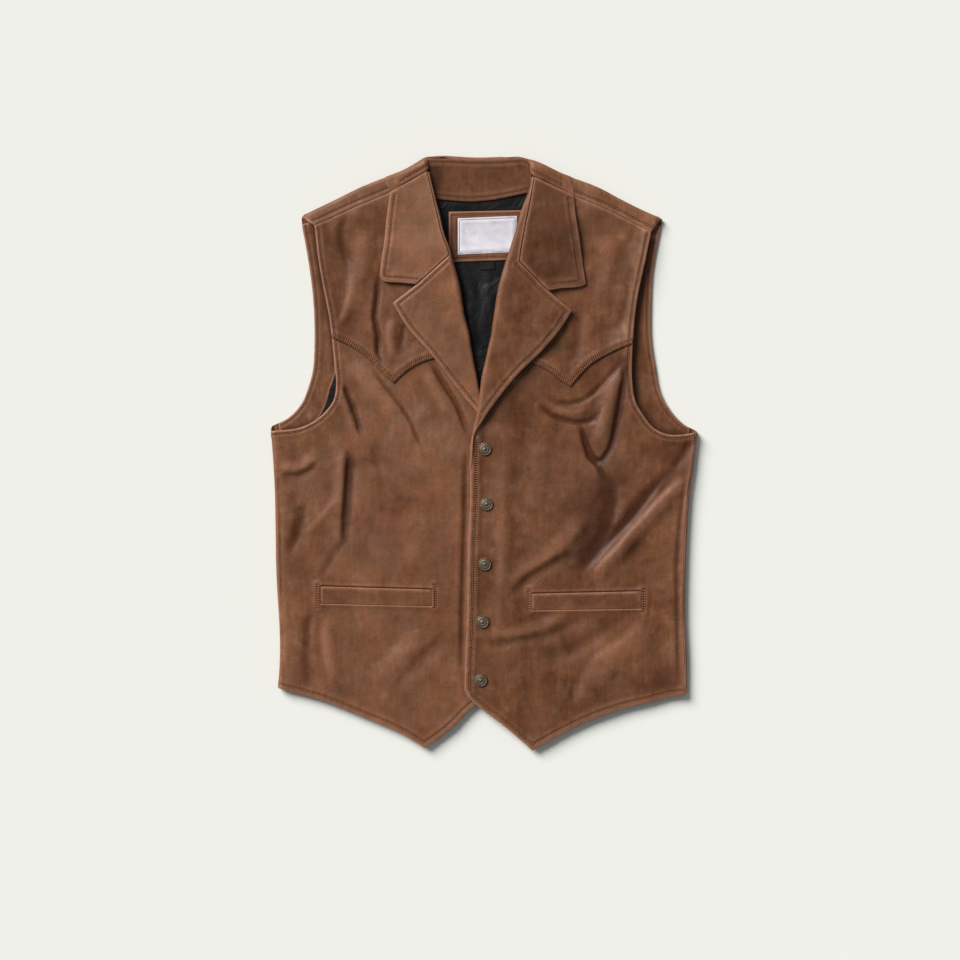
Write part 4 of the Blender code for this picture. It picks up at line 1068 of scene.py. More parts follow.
def back_rings():
    """The outlines of the back and of the sheets that lie in it."""
    rings = {}
    parts = {}
    lining = []
    for side, sense in (("left", 1), ("right", -1)):
        seam = seam_on_back(side)
        seam = seam[NECK_BORDER.measure(seam)[0] > BACK_NECK_EDGE + END_GAP]
        armhole = smooth(BACK_ARMHOLE[side])
        beyond = SIDE_BORDER[side].outside(SIDE_TURN[side] - SEAM / 2 / SIDE_RADIUS)
        parts[side] = (seam, armhole, rising(beyond, upwards)[::-1])
        width = np.interp(armhole[:, 1], *np.array(FACING_WIDTH[side]).T)
        edge = clear_of_folds(moved(armhole, -sense * width), side, FACING_INSET)
        outer = clear_of_folds(armhole - (sense * SEAM, 0), side, FACING_END)
        facing_edge = moved(edge, (SEAM if edge[0][1] > edge[-1][1] else -SEAM) * sense)
        rings[f"armhole_facing_{side}"] = ring(outer, facing_edge[::-1])
        shoulder = rising(moved(SHOULDER_BORDER[side].edge, LINING_INSET), outwards)
        shoulder = shoulder[abs(shoulder[:, 0]) < abs(edge[0][0]) - LINING_CORNER]
        down = rising(moved(SIDE_BORDER[side].edge, LINING_INSET), upwards)[::-1]
        down = down[(down[:, 1] < edge[-1][1] - LINING_CORNER) & (down[:, 1] > LINING_BOTTOM + LINING_CORNER)]
        lining.append(np.vstack((shoulder, edge, down)))
    seam, armhole, beyond = parts["left"]
    far_seam, far_armhole, far_beyond = parts["right"]
    neck = rising(moved(NECK_BORDER.edge, BACK_NECK_EDGE), lambda point: point[0])
    rings["back"] = ring(
        neck, seam, armhole[:-1], beyond, smooth(BACK_HEM, COARSE_SAMPLE)[::-1][1:-1],
        far_beyond[::-1], far_armhole[::-1][1:], far_seam[::-1],
    )
    bottom = straight([(line[-1][0], LINING_BOTTOM) for line in lining], COARSE_SAMPLE)
    rings["lining_back"] = ring(straight(LINING_TOP, COARSE_SAMPLE), lining[0], bottom, lining[1][::-1])
    rings["neck_band"] = ring(smooth(NECK_BAND_TOP, COARSE_SAMPLE), smooth(NECK_BAND_LOW))
    rings["label_patch"] = ring(closed(PATCH_CORNERS, COARSE_SAMPLE)[:-1])
    rings["label"] = ring(closed(LABEL_CORNERS, COARSE_SAMPLE)[:-1])
    rings["size_tab"] = ring(closed(TAB_CORNERS)[:-1])
    return rings


def clear_of_folds(line, side, clear):
    """The points of a line in the back that are further than a distance from its shoulder and its side."""
    shoulder = SHOULDER_BORDER[side].measure(line)[0]
    return line[(shoulder > clear) & (SIDE_BORDER[side].measure(line)[0] > clear)]


def collar_back_ring():
    """The back collar's outline in the back's flat outline, from its seam on one shoulder to the other."""
    turned = NECK_BORDER.outside(
        lambda run: NECK_TURN_AT_SHOULDER
        + (NECK_TURN_BEHIND - NECK_TURN_AT_SHOULDER)
        * fade(0.5 - abs(run - 0.5), NECK_TURN_FROM, NECK_TURN_TO)
    )
    turned = rising(turned, lambda point: point[0])[1:-1]
    ends = {}
    for side in SIDE:
        seam = seam_on_back(side)
        neckwards = (seam[0] - seam[1]) / np.linalg.norm(seam[0] - seam[1])
        tip = seam[0] + neckwards * NECK_RADIUS * (NECK_TURN_AT_SHOULDER - 1)
        last = SHOULDER_BORDER[side].unroll(np.array([COLLAR_BACK_EDGE[side][0]], float))
        edge = SHOULDER_BORDER[side].unroll(np.array([COLLAR_BACK_EDGE[side][1]], float))
        ends[side] = np.vstack((tip, stretch(seam, seam[0], last)[1:], edge))
    under = smooth(COLLAR_UNDER, COARSE_SAMPLE)
    return ring(turned, ends["left"], under[::-1], ends["right"][::-1])


def triangulated(outline, rims, guides, spacing):
    """Points and triangles that fill a closed outline, with edges along the rims and guides."""
    corners = []
    edges = []
    for line in (np.vstack((outline, outline[:1])), *rims, *clear_runs(guides, outline)):
        start = len(corners)
        corners.extend(line)
        edges.extend((start + k, start + k + 1) for k in range(len(line) - 1))
    corners.extend(lattice(outline, np.array(corners), spacing))
    flat = [Vector(point) for point in corners]
    points, _, triangles, _, _, _ = delaunay_2d_cdt(flat, edges, [], 0, MERGE)
    points = np.array([tuple(point) for point in points])
    triangles = np.array(triangles)
    triangles = triangles[within(points[triangles].mean(axis=1), outline)]
    used, rows = np.unique(triangles, return_inverse=True)
    return points[used], rows.reshape(-1, 3)


def clear_runs(guides, outline):
    """The runs of the guides that lie inside an outline and clear of its rim."""
    rim = np.vstack((outline, outline[:1]))
    runs = []
    for guide in guides:
        gap = nearest(guide, rim)[0]
        clear = (gap > RIM_CLEAR) & within(guide, outline)
        breaks = np.flatnonzero(np.diff(clear.astype(int))) + 1
        parts = np.split(np.arange(len(guide)), breaks)
        runs.extend(guide[part] for part in parts if clear[part[0]] and len(part) > 1)
    return runs


def neighbours(spots, wanted):
    """For each wanted point, the spot nearest to it, its row and its distance."""
    tree = KDTree(len(spots))
    for number, (x, y) in enumerate(spots):
        tree.insert((x, y, 0), number)
    tree.balance()
    return [tree.find((x, y, 0)) for x, y in wanted]


def lattice(outline, fixed, spacing):
    """Points of a triangular lattice inside the outline, clear of the fixed points."""
    low = outline.min(0)
    high = outline.max(0)
    rows = np.arange(low[1], high[1], spacing * math.sqrt(3) / 2)
    found = []
    for number, y in enumerate(rows):
        xs = np.arange(low[0] + spacing / 2 * (number % 2), high[0], spacing)
        found.append(np.column_stack((xs, np.full(len(xs), y))))
    found = np.vstack(found)
    found = found[within(found, outline)]
    gaps = [gap for _, _, gap in neighbours(fixed, found)]
    return found[np.array(gaps) > spacing * LATTICE_CLEAR]


def rim_lines(outline, reach):
    """Lines beside a closed outline, inside it, where the cut edge is rounded."""
    after = np.roll(outline, -1, axis=0) - outline
    before = outline - np.roll(outline, 1, axis=0)
    run = after / np.linalg.norm(after, axis=1, keepdims=True)
    run += before / np.linalg.norm(before, axis=1, keepdims=True)
    run /= np.maximum(np.linalg.norm(run, axis=1, keepdims=True), SHARPEST_CORNER)
    inwards = np.column_stack((-run[:, 1], run[:, 0]))
    found = []
    for share in RIM_SHARES:
        line = outline + inwards * reach * share
        line = line[within(line, outline)]
        found.append(np.vstack((line, line[:1])))
    return found


def inset(line, distance, inner_point):
    """A row of sewing: the line moved inwards, without the loops that its corners would make."""
    fine = straight(line, FINE_SAMPLE)
    row = moved(oriented(fine, inner_point), distance)
    return straight(row[nearest(row, fine)[0] > distance * LOOP_SHARE])


def gap_to(points, line):
    """Distance from each point to a line, or the reach where it is further, and the run along it."""
    gap = np.full(len(points), REACH)
    coarse = nearest(points, np.vstack((line[:-1:SEARCH_EVERY], line[-1:])))[0]
    rows = np.flatnonzero(coarse < REACH + SEARCH_MARGIN)
    fine, _, _, run = nearest(points[rows], line)
    gap[rows] = np.minimum(fine, REACH)
    along = np.zeros(len(points))
    along[rows] = run
    return gap, along


def sewn(points, rows):
    """What rows of sewing do to a sheet: its rise at each point, and how near a row it is."""
    rise = np.zeros(len(points))
    near = np.zeros(len(points))
    for number, row in enumerate(rows):
        length = np.linalg.norm(np.diff(row, axis=0), axis=1).sum()
        gap, along = gap_to(points, row)
        place = np.column_stack((along * length, np.full(len(points), PUCKER_ROWS_APART * number)))
        rise += PUFF * np.exp(-((gap - PUFF_AWAY) / PUFF_WIDTH) ** 2) * (gap < REACH)
        pucker = unevenness(place, PUCKER_SIZE, PUCKER_SEED + number)
        rise += PUCKER * pucker * np.exp(-(gap / PUCKER_SIZE) ** 2)
        groove = np.exp(-(gap / GROOVE_WIDTH) ** 2)
        rise -= GROOVE * groove
        near = np.maximum(near, groove)
    return rise, near


def blurred(values, triangles, times):
    """Values at the corners of a mesh, evened out with their neighbours a number of times."""
    pairs = np.vstack((triangles[:, :2], triangles[:, 1:], triangles[:, ::2]))
    count = np.bincount(pairs.ravel(), minlength=len(values))
    for _ in range(times):
        total = np.bincount(pairs[:, 0], values[pairs[:, 1]], len(values))
        total += np.bincount(pairs[:, 1], values[pairs[:, 0]], len(values))
        values = 0.5 * values + 0.5 * total / np.maximum(count, 1)
    return values


def in_metres(spots, heights):
    """Drawing points with their heights, as places on the vest in metres."""
    return (np.column_stack((spots, heights)) - (MIDDLE_X, MIDDLE_Y, 0)) * MM


def add_object(name, corners, faces, finish, attributes=None):
    """A smooth closed mesh with one material, above the floor, that rides on the vest."""
    mesh = bpy.data.meshes.new(name)
    corners[:, 2] = np.maximum(corners[:, 2], 0)
    mesh.from_pydata(corners.tolist(), [], faces)
    mesh.shade_smooth()
    mesh.materials.append(finish)
    for attribute, values in (attributes or {}).items():
        made = mesh.attributes.new(attribute, "FLOAT", "POINT")
        made.data.foreach_set("value", values.astype(np.float32))
    built = bmesh.new()
    built.from_mesh(mesh)
    bmesh.ops.recalc_face_normals(built, faces=built.faces)
    built.to_mesh(mesh)
    built.free()
    piece = linked(name, mesh)
    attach(piece, "root")
    return piece


def cloth(name, outline, place, thickness, finishes, finish="leather", rows=(), guides=(), spacing=FINE,
          thread="thread", slits=(), plain=(), relief=None, tone=None):
    """A sheet: a thin closed shell with rounded edges and sewn rows, in place of the CAD's solid."""
    edge = min(EDGE_ROUND, THIN_EDGE * thickness)
    spacing = spacing * 1.0
    lines = [*rows, *(slit for slit, _, _ in slits)]
    grooves = [moved(line, offset) for line in lines for offset in GROOVE_LINES]
    spots, triangles = triangulated(outline, rim_lines(outline, edge), [*guides, *grooves], spacing)
    gap, _ = gap_to(spots, np.vstack((outline, outline[:1])))
    rounding = edge - np.sqrt(edge ** 2 - np.maximum(edge - gap, 0) ** 2)
    rise, near = sewn(spots, rows)
    rise *= fade(gap, 0, ROW_END_FADE)
    # A slit's darkness is painted shade in it, a lip's negative darkness a painted highlight
    for slit, depth, dark in slits:
        cut = np.exp(-(gap_to(spots, slit)[0] / SLIT_WIDTH) ** 2)
        rise -= depth * cut
        near += dark * cut
    if relief:
        rise += relief(spots)
    outer = in_metres(*place(spots, rounding - rise))
    inner = in_metres(*place(spots, thickness - rounding))
    count = len(spots)
    edges = np.vstack((triangles[:, :2], triangles[:, 1:], triangles[:, [2, 0]]))
    keys = edges[:, 0] * count + edges[:, 1]
    rim = edges[~np.isin(keys, edges[:, 1] * count + edges[:, 0])]
    faces = [*triangles.tolist(), *(triangles[:, ::-1] + count).tolist()]
    faces.extend(np.column_stack((rim[:, 1], rim[:, 0], rim[:, 0] + count, rim[:, 1] + count)).tolist())
    height = outer[:, 2] / MM
    # What the leather's colour follows: lighter on ridges with painted shade in troughs, a painted highlight
    # along the edges, and the sewn rows' dark with the slits' painted shade
    ridge_wear_and_trough_shade = height - blurred(height, triangles, RELIEF_BLUR)
    painted_edge_highlight = np.exp(-(gap / EDGE_LIGHT_WIDTH) ** 2) * (name not in PLAIN_EDGES)
    for line in plain:
        painted_edge_highlight *= fade(gap_to(spots, line)[0], *PLAIN_REACH)
    outside = {"ridge_wear_and_trough_shade": ridge_wear_and_trough_shade, "edge": painted_edge_highlight, "sewn": near}
    attributes = {key: np.concatenate((values, np.zeros(count))) for key, values in outside.items()}
    # Painted light and shade of the creases and patches, with each piece's tone, which is partly painted
    # light and shade
    shade_and_tones = (tone(spots) if tone else np.zeros(count)) + PIECE_TONE_AND_LIGHT.get(name, 0.0)
    attributes["tone"] = np.tile(shade_and_tones, 2)
    corners = np.vstack((outer, inner))
    piece = add_object(f"{name}_{SHEET_NAMES[finish]}", corners, faces, finishes[finish], attributes)
    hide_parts(name)
    if rows:
        stitches(f"{name}_stitching", rows, place, spots, rise, finishes[thread])


def tube(levels, sides, start=0):
    """The faces of a tube through rings of points, with flat ends, whose first point has the number start."""
    faces = []
    for level in range(start, start + (levels - 1) * sides, sides):
        for k in range(sides):
            after = (k + 1) % sides
            faces.append((level + k, level + after, level + sides + after, level + sides + k))
    last = start + (levels - 1) * sides
    return [*faces, tuple(range(start, start + sides))[::-1], tuple(range(last, last + sides))]


def around(centres, along, across):
    """Rings of points round centres, from the reaches along two directions."""
    angles = np.arange(STITCH_SIDES) * 2 * math.pi / STITCH_SIDES
    return [centres + (along * math.cos(angle) + across * math.sin(angle)) * MM for angle in angles]


def stitches(name, rows, place, spots, rise, finish):
    """The stitches of rows of sewing, as short rounded threads that dip into the sheet at their ends."""
    starts = []
    ends = []
    for row in rows:
        steps = np.linalg.norm(np.diff(row, axis=0), axis=1)
        along = np.concatenate(([0], np.cumsum(steps)))
        count = int(along[-1] // STITCH_PITCH)
        first = (np.arange(count) + 0.5 - STITCH_SHARE / 2) * along[-1] / count
        last = first + STITCH_SHARE * along[-1] / count
        for found, runs in ((starts, first), (ends, last)):
            found.append(np.column_stack([np.interp(runs, along, row[:, axis]) for axis in (0, 1)]))
    starts = np.vstack(starts)
    ends = np.vstack(ends)

    def put_down(share, depth):
        spot = starts + (ends - starts) * share
        rows = [row for _, row, _ in neighbours(spots, spot)]
        return in_metres(*place(spot, depth - rise[rows]))

    centres = [put_down(share, depth) for share, depth, _ in STITCH_STATIONS]
    along = centres[-1] - centres[0]
    along /= np.linalg.norm(along, axis=1, keepdims=True)
    across = np.cross(along, (0, 0, 1))
    across /= np.maximum(np.linalg.norm(across, axis=1, keepdims=True), TINY)
    up = np.cross(across, along)
    rings = []
    for centre, (_, _, radius) in zip(centres, STITCH_STATIONS):
        rings.extend(around(centre, across * radius, up * radius))
    # Dark discs beside each stitch: painted shade in its holes
    start = len(rings)
    for level in HOLE_LEVELS:
        rings.extend(around(put_down(1 + HOLE_SHARE, level), along * HOLE_SIZE[0], across * HOLE_SIZE[1]))
    corners = np.stack(rings, axis=1)
    pattern = tube(len(STITCH_STATIONS), STITCH_SIDES) + tube(len(HOLE_LEVELS), STITCH_SIDES, start)
    size = len(rings)
    faces = [tuple(corner + number * size for corner in face) for number in range(len(corners))
             for face in pattern]
    # The holes' discs are marked for their painted shade
    dark = np.tile(np.arange(size) >= start, len(corners)).astype(float)
    return add_object(name, corners.reshape(-1, 3), faces, finish, {"hole_shade": dark})


def build_fronts(finishes):
    """Fronts, yokes and welts."""
    rings = front_rings()
    guides = []
    for side, border in SIDE_BORDER.items():
        guides.extend(border.guides(math.pi - SIDE_TURN[side] - ROLL_MARGIN))
    for side in ("right", "left"):
        front, yoke, name = f"front_{side}", f"yoke_{side}", f"welt_{side}"
        over = closure_lift if side == "left" else np.zeros_like
        middle = (INNER_X[side], FRONT_MIDDLE_Y)
        hem = np.vstack((smooth(HEM[side]), smooth(HEM_POINT[side])[1:]))
        rows = []
        if side == "left":
            hem = np.vstack((hem, smooth(FRONT_EDGE[side])[1:]))
            rows = [inset(smooth(FRONT_EDGE[side]), FRONT_ROW, middle)]
        arm_row = front_arm_row(side)
        low_arm = arm_row[arm_row[:, 1] < YOKE_EDGE[side][0][1] - ARM_ROW_BELOW_YOKE]
        high_arm = arm_row[arm_row[:, 1] > YOKE_EDGE[side][0][1] + ARM_ROW_ABOVE_YOKE]
        low_arm = low_arm[SIDE_BORDER[side].measure(low_arm)[0] > ROLL_CLEAR]
        rows = [inset(hem, HEM_ROW, middle), *rows, low_arm, *welt_stitching(side)]
        yoke_edge = yoke_line(side)
        yoke_rows = [inset(yoke_edge, distance, YOKE_MIDDLE[side]) for distance in YOKE_ROWS]
        yoke_rows = [
            row[TURN_BORDER[side].measure(row)[0] >= NECK_EDGE + YOKE_ROW_CLEAR] for row in yoke_rows
        ]
        high_left, high_right, low_right, low_left = np.array(WELT[side], float)
        gap = np.array((0, WELT_GAP))
        end = np.array((high_right, low_right) if side == "left" else (high_left, low_left))
        # Painted shade in the welt's mouth and at its end, and a painted highlight on the lip below it
        slits = [
            (straight((high_left + gap, high_right + gap)), *WELT_SLIT),
            (straight((low_left - gap, low_right - gap)), *WELT_LIP),
            (straight(end + (WELT_GAP if side == "left" else -WELT_GAP, 0)), *WELT_END),
        ]
        place = place_front(lambda points: over(points[:, 0]))
        cloth(front, rings[front], place, LEATHER, finishes, rows=rows, guides=guides,
              slits=slits, relief=set_in(rings[name]), tone=front_shade_and_tone)
        place = place_front(lambda points: yoke_lift(points, side) + over(points[:, 0]))
        cloth(yoke, rings[yoke], place, LEATHER, finishes, rows=[high_arm, *yoke_rows],
              plain=[yoke_edge], tone=front_shade_and_tone)
        place = place_front(lambda points: over(points[:, 0]) + LAY - WELT_SINK)
        cloth(name, rings[name], place, LEATHER, finishes,
              plain=[straight((high_right, low_right, low_left))], tone=front_shade_and_tone)


def set_in(outline):
    """The relief of a front round its welt, which lies in a shallow bed with a soft rim."""

    def relief(points):
        gap, _ = gap_to(points, np.vstack((outline, outline[:1])))
        rim = WELT_PUFF * np.exp(-((gap - WELT_GAP) / WELT_PUFF_WIDTH) ** 2) * (gap < REACH)
        return np.where(within(points, outline), -WELT_BED * fade(gap, 0, WELT_GAP), rim)

    return relief


def welt_stitching(side):
    """The short rows at both ends of a welt."""
    (left_x, low), (right_x, high) = np.min(WELT[side], axis=0), np.max(WELT[side], axis=0)
    below, above = WELT_ROW_PAST
    places = [left_x - distance for distance in WELT_ROWS] + [right_x + distance for distance in WELT_ROWS]
    return [straight(((x, low - below), (x, high + above))) for x in places]


def build_turned(finishes):
    """Lapels and front collar leaves."""
    for side in ("right", "left"):
        guides = TURN_BORDER[side].guides(LAPEL_GUIDE_TURN)
        edge = np.vstack((straight(GORGE[side]), straight(NOTCH[side])[1:], smooth(LAPEL_EDGE[side])[1:]))
        lapel_row = inset(edge, LAPEL_ROW, LAPEL_MIDDLE[side])
        lapel_row = lapel_row[TURN_BORDER[side].measure(lapel_row)[0] > LAPEL_ROW_CLEAR]
        leaf = np.vstack((smooth(COLLAR_BOTTOM[side]), smooth(COLLAR_EDGE[side])[1:]))
        leaf_row = inset(leaf, COLLAR_ROW, SHOULDER_MIDDLE[side])
        leaf_row = leaf_row[leaf_row[:, 1] < SHOULDER_SEAM[side][1][1] - COLLAR_ROW_END]
        rows = {f"lapel_{side}": [lapel_row], f"collar_{side}": [leaf_row]}
        line = smooth(COLLAR_GROOVE[side])
        # Painted shade in the collar's groove, and a painted highlight on the lip beside it
        slits = [(np.vstack((line, straight(GORGE[side])[1:])), *GROOVE_CUT),
                 (inset(line, LIP_GAP, NECK_MIDDLE), *GROOVE_LIP)]
        for name, outline in turned_rings(side).items():
            cloth(name, outline, place_turned(side), DOUBLED_LEATHER, finishes, rows=rows[name],
                  guides=guides, slits=slits,
                  relief=lambda points: uneven(points, UNEVEN_TURNED))


def thinned_ends(points):
    """The back collar's relief, which thins towards its ends."""
    return -COLLAR_THINNING * fade(abs(points[:, 0]), *COLLAR_THINS)


def shaded_facing(side):
    """The painted shade on an armhole facing, darker towards the front's edge over it."""

    def tone(points):
        gap = nearest(points, smooth(FRONT_ARMHOLE[side], COARSE_SAMPLE))[0]
        return -FACING_SHADE * fade(gap, FACING_SHADE_WIDTH[side], 0)

    return tone


def build_back(finishes):
    """The back, its lining, facings and neck band, the patch with its label and tab, and the back collar."""
    rings = back_rings()
    side_guides = []
    for side, border in SIDE_BORDER.items():
        side_guides.extend(border.guides(SIDE_TURN[side] - ROLL_MARGIN))
    shoulder_guides = []
    for border in SHOULDER_BORDER.values():
        shoulder_guides.extend(border.guides(math.pi + ROLL_MARGIN))
    arm_rows = {}
    back_rows = []
    collar_rows = []
    for side in SIDE:
        arm_rows[side] = inset(smooth(BACK_ARMHOLE[side]), ARM_ROW, CHEST)
        seam = seam_on_back(side)
        row = inset(seam, SHOULDER_ROW, CHEST)
        far = abs(row[:, 0])
        back_rows.extend((arm_rows[side], row[far < abs(seam[-1][0]) - ARM_ROW]))
        inside = NECK_BORDER.measure(row)[0]
        outer = abs(COLLAR_BACK_EDGE[side][0][0]) - SHOULDER_ROW_END
        collar_rows.append(row[(inside > ROLL_CLEAR) & (far < outer)])
    back_rows.append(inset(smooth(BACK_HEM, COARSE_SAMPLE), HEM_ROW, CHEST))
    cloth("back", rings["back"], place_back, LEATHER, finishes, rows=back_rows,
          guides=[*side_guides, *shoulder_guides], spacing=COARSE)
    cloth("lining_back", rings["lining_back"], place_lining, LINING, finishes, finish="lining",
          spacing=LINING_SPACING)
    for side in ("right", "left"):
        outline = rings[f"armhole_facing_{side}"]
        row = arm_rows[side]
        cloth(f"armhole_facing_{side}", outline, place_in_back(LEATHER), LEATHER, finishes,
              rows=[row[within(row, outline)]], tone=shaded_facing(side))
    band_rows = [inset(smooth(NECK_BAND_TOP), BAND_ROW, CHEST),
                 inset(smooth(NECK_BAND_LOW), BAND_ROW, BAND_MIDDLE)]
    cloth("neck_band", rings["neck_band"], place_neck_band, LEATHER, finishes, rows=band_rows,
          tone=front_shade_and_tone)
    patch_row = inset(closed(PATCH_CORNERS), PATCH_ROW, np.mean(PATCH_CORNERS, axis=0))
    cloth("label_patch", rings["label_patch"], place_on_lining(PATCH), PATCH, finishes, rows=[patch_row])
    label_row = inset(closed(LABEL_CORNERS), LABEL_ROW, np.mean(LABEL_CORNERS, axis=0))
    cloth("label", rings["label"], place_on_lining(LINING, PATCH + SEAM), LINING, finishes, finish="label",
          rows=[label_row], thread="label_thread")
    cloth("size_tab", rings["size_tab"], place_on_lining(LINING), LINING, finishes, finish="lining")
    guides = [*shoulder_guides, *NECK_BORDER.guides(NECK_TURN_BEHIND, 1)]
    cloth("collar_back", collar_back_ring(), place_collar_back, DOUBLED_LEATHER, finishes, rows=collar_rows,
          guides=guides, relief=thinned_ends)


def lathed(profile, sides):
    """A closed round piece from a profile of (radius, level), in millimetres, that ends on its axis."""
    angles = np.arange(sides) * 2 * math.pi / sides
    corners = [(radius * math.cos(angle), radius * math.sin(angle), level)
               for radius, level in profile[:-1] for angle in angles]
    corners.append((0, 0, profile[-1][1]))
    levels = len(profile) - 1
    faces = tube(levels, sides)[:-1]
    last = (levels - 1) * sides
    faces.extend((last + k, last + (k + 1) % sides, len(corners) - 1) for k in range(sides))
    return np.array(corners), faces


def build_snaps(finishes):
    """The snap caps: a stepped dome with a ring of small beads and a centre boss."""
    for number, centre in enumerate(SNAPS, 1):
        corners, faces = lathed(SNAP_PROFILE, SNAP_SIDES)
        for angle in np.arange(SNAP_BEADS) * 2 * math.pi / SNAP_BEADS:
            bead, bead_faces = lathed(BEAD_PROFILE, BEAD_SIDES)
            shift = (math.cos(angle) * BEAD_RING, math.sin(angle) * BEAD_RING, BEAD_LEVEL)
            faces.extend(tuple(corner + len(corners) for corner in face) for face in bead_faces)
            corners = np.vstack((corners, bead + shift))
        seat = np.array([centre], float)
        top = front_height(seat) + closure_lift(seat[:, 0]) + SEAM
        corners = corners * MM + in_metres(seat, top)
        piece = add_object(f"snap_{number}_cap", corners, faces, finishes["snap"])
        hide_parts(f"snap_{number}")


# The settings of shader nodes that aren't sockets
SETTINGS = ("operation", "blend_type", "data_type", "attribute_name", "bands_direction", "use_clamp")


class Look:
    """A material in the making: its nodes, and short ways to add them."""

    def __init__(self, name, roughness, **uniform):
        self.material = bpy.data.materials.new(name)
        self.material.use_nodes = True
        self.tree = self.material.node_tree
        self.shader = self.tree.nodes["Principled BSDF"]
        self.shader.inputs["Roughness"].default_value = roughness
        for socket, value in uniform.items():
            self.shader.inputs[socket.replace("_", " ")].default_value = value
        self.place = self.add("ShaderNodeTexCoord").outputs["Object"]

    def add(self, kind, **values):
        """A node, with its settings and the values of its sockets, which other nodes' outputs may give."""
        made = self.tree.nodes.new(kind)
        for name, value in values.items():
            if name in SETTINGS:
                setattr(made, name, value)
                continue
            socket = made.inputs[int(name[1:])] if name[1:].isdigit() else made.inputs[name.replace("_", " ")]
            if isinstance(value, bpy.types.NodeSocket):
                self.tree.links.new(value, socket)
            else:
                socket.default_value = value
        return made

    def noise(self, size, detail=3.0, distortion=0.0, squeeze=None):
        """Noise from 0 to 1 with grains of a size in millimetres, longer along an axis that is squeezed."""
        place = self.place
        if squeeze:
            place = self.add("ShaderNodeVectorMath", operation="MULTIPLY", i0=place, i1=squeeze).outputs[0]
        made = self.add("ShaderNodeTexNoise", Vector=place, Scale=1 / (size * MM), Detail=detail,
                        Distortion=distortion)
        return made.outputs[0]

    def calc(self, operation, first, second, clamp=False):
        """What a calculation makes of two values."""
        node = self.add("ShaderNodeMath", operation=operation, i0=first, i1=second, use_clamp=clamp)
        return node.outputs[0]

    def times(self, first, second, clamp=False):
        """Two values multiplied."""
        return self.calc("MULTIPLY", first, second, clamp)

    def weighed(self, kinds):
        """The sum of several kinds of noise, each times its weight."""
        total = 0.0
        for kind, weight in kinds:
            total = self.calc("ADD", total, self.times(self.noise(*kind), weight))
        return total

    def past(self, value, level, scale):
        """How far a value is past a level, times a scale, from 0 to 1."""
        return self.times(self.calc("SUBTRACT", value, level), scale, clamp=True)

    def attribute(self, name, scale):
        """A mesh attribute times a scale, from 0 to 1."""
        value = self.add("ShaderNodeAttribute", attribute_name=name).outputs["Fac"]
        return self.times(value, scale, clamp=True)

    def weave(self, across, down):
        """Woven threads of two pitches in millimetres."""
        waves = [
            self.add("ShaderNodeTexWave", Vector=self.place, Scale=1 / (pitch * MM), bands_direction=axis)
            for pitch, axis in ((across, "X"), (down, "Y"))
        ]
        return self.times(*(wave.outputs["Fac"] for wave in waves))

    def ramp(self, value, stops):
        """Colours along a value."""
        made = self.tree.nodes.new("ShaderNodeValToRGB")
        self.tree.links.new(value, made.inputs[0])
        while len(made.color_ramp.elements) < len(stops):
            made.color_ramp.elements.new(0.5)
        for element, (spot, colour) in zip(made.color_ramp.elements, stops):
            element.position = spot
            element.color = (*colour, 1.0)
        return made.outputs[0]

    def mixed(self, share, first, second, kind="MIX"):
        """One colour over another by a share."""
        made = self.add("ShaderNodeMix", data_type="RGBA", blend_type=kind, i0=share)
        for socket, value in ((made.inputs[6], first), (made.inputs[7], second)):
            if isinstance(value, bpy.types.NodeSocket):
                self.tree.links.new(value, socket)
            else:
                socket.default_value = (*value, 1.0)
        return made.outputs[2]

    def layered(self, colour, *layers):
        """A colour with others over it, each as (share, strength, colour)."""
        for share, strength, over in layers:
            colour = self.mixed(self.times(share, strength), colour, over)
        return colour

    def finish(self, colour, heights, roughness=None):
        """Link a colour, bumps as (height, strength, distance in millimetres), and a roughness."""
        self.tree.links.new(colour, self.shader.inputs["Base Color"])
        if roughness is not None:
            self.tree.links.new(roughness, self.shader.inputs["Roughness"])
        normal = None
        for height, strength, distance in heights:
            bump = self.add("ShaderNodeBump", Strength=strength, Distance=distance * MM, Height=height)
            if normal is not None:
                self.tree.links.new(normal, bump.inputs["Normal"])
            normal = bump.outputs[0]
        self.tree.links.new(normal, self.shader.inputs["Normal"])
        return self.material


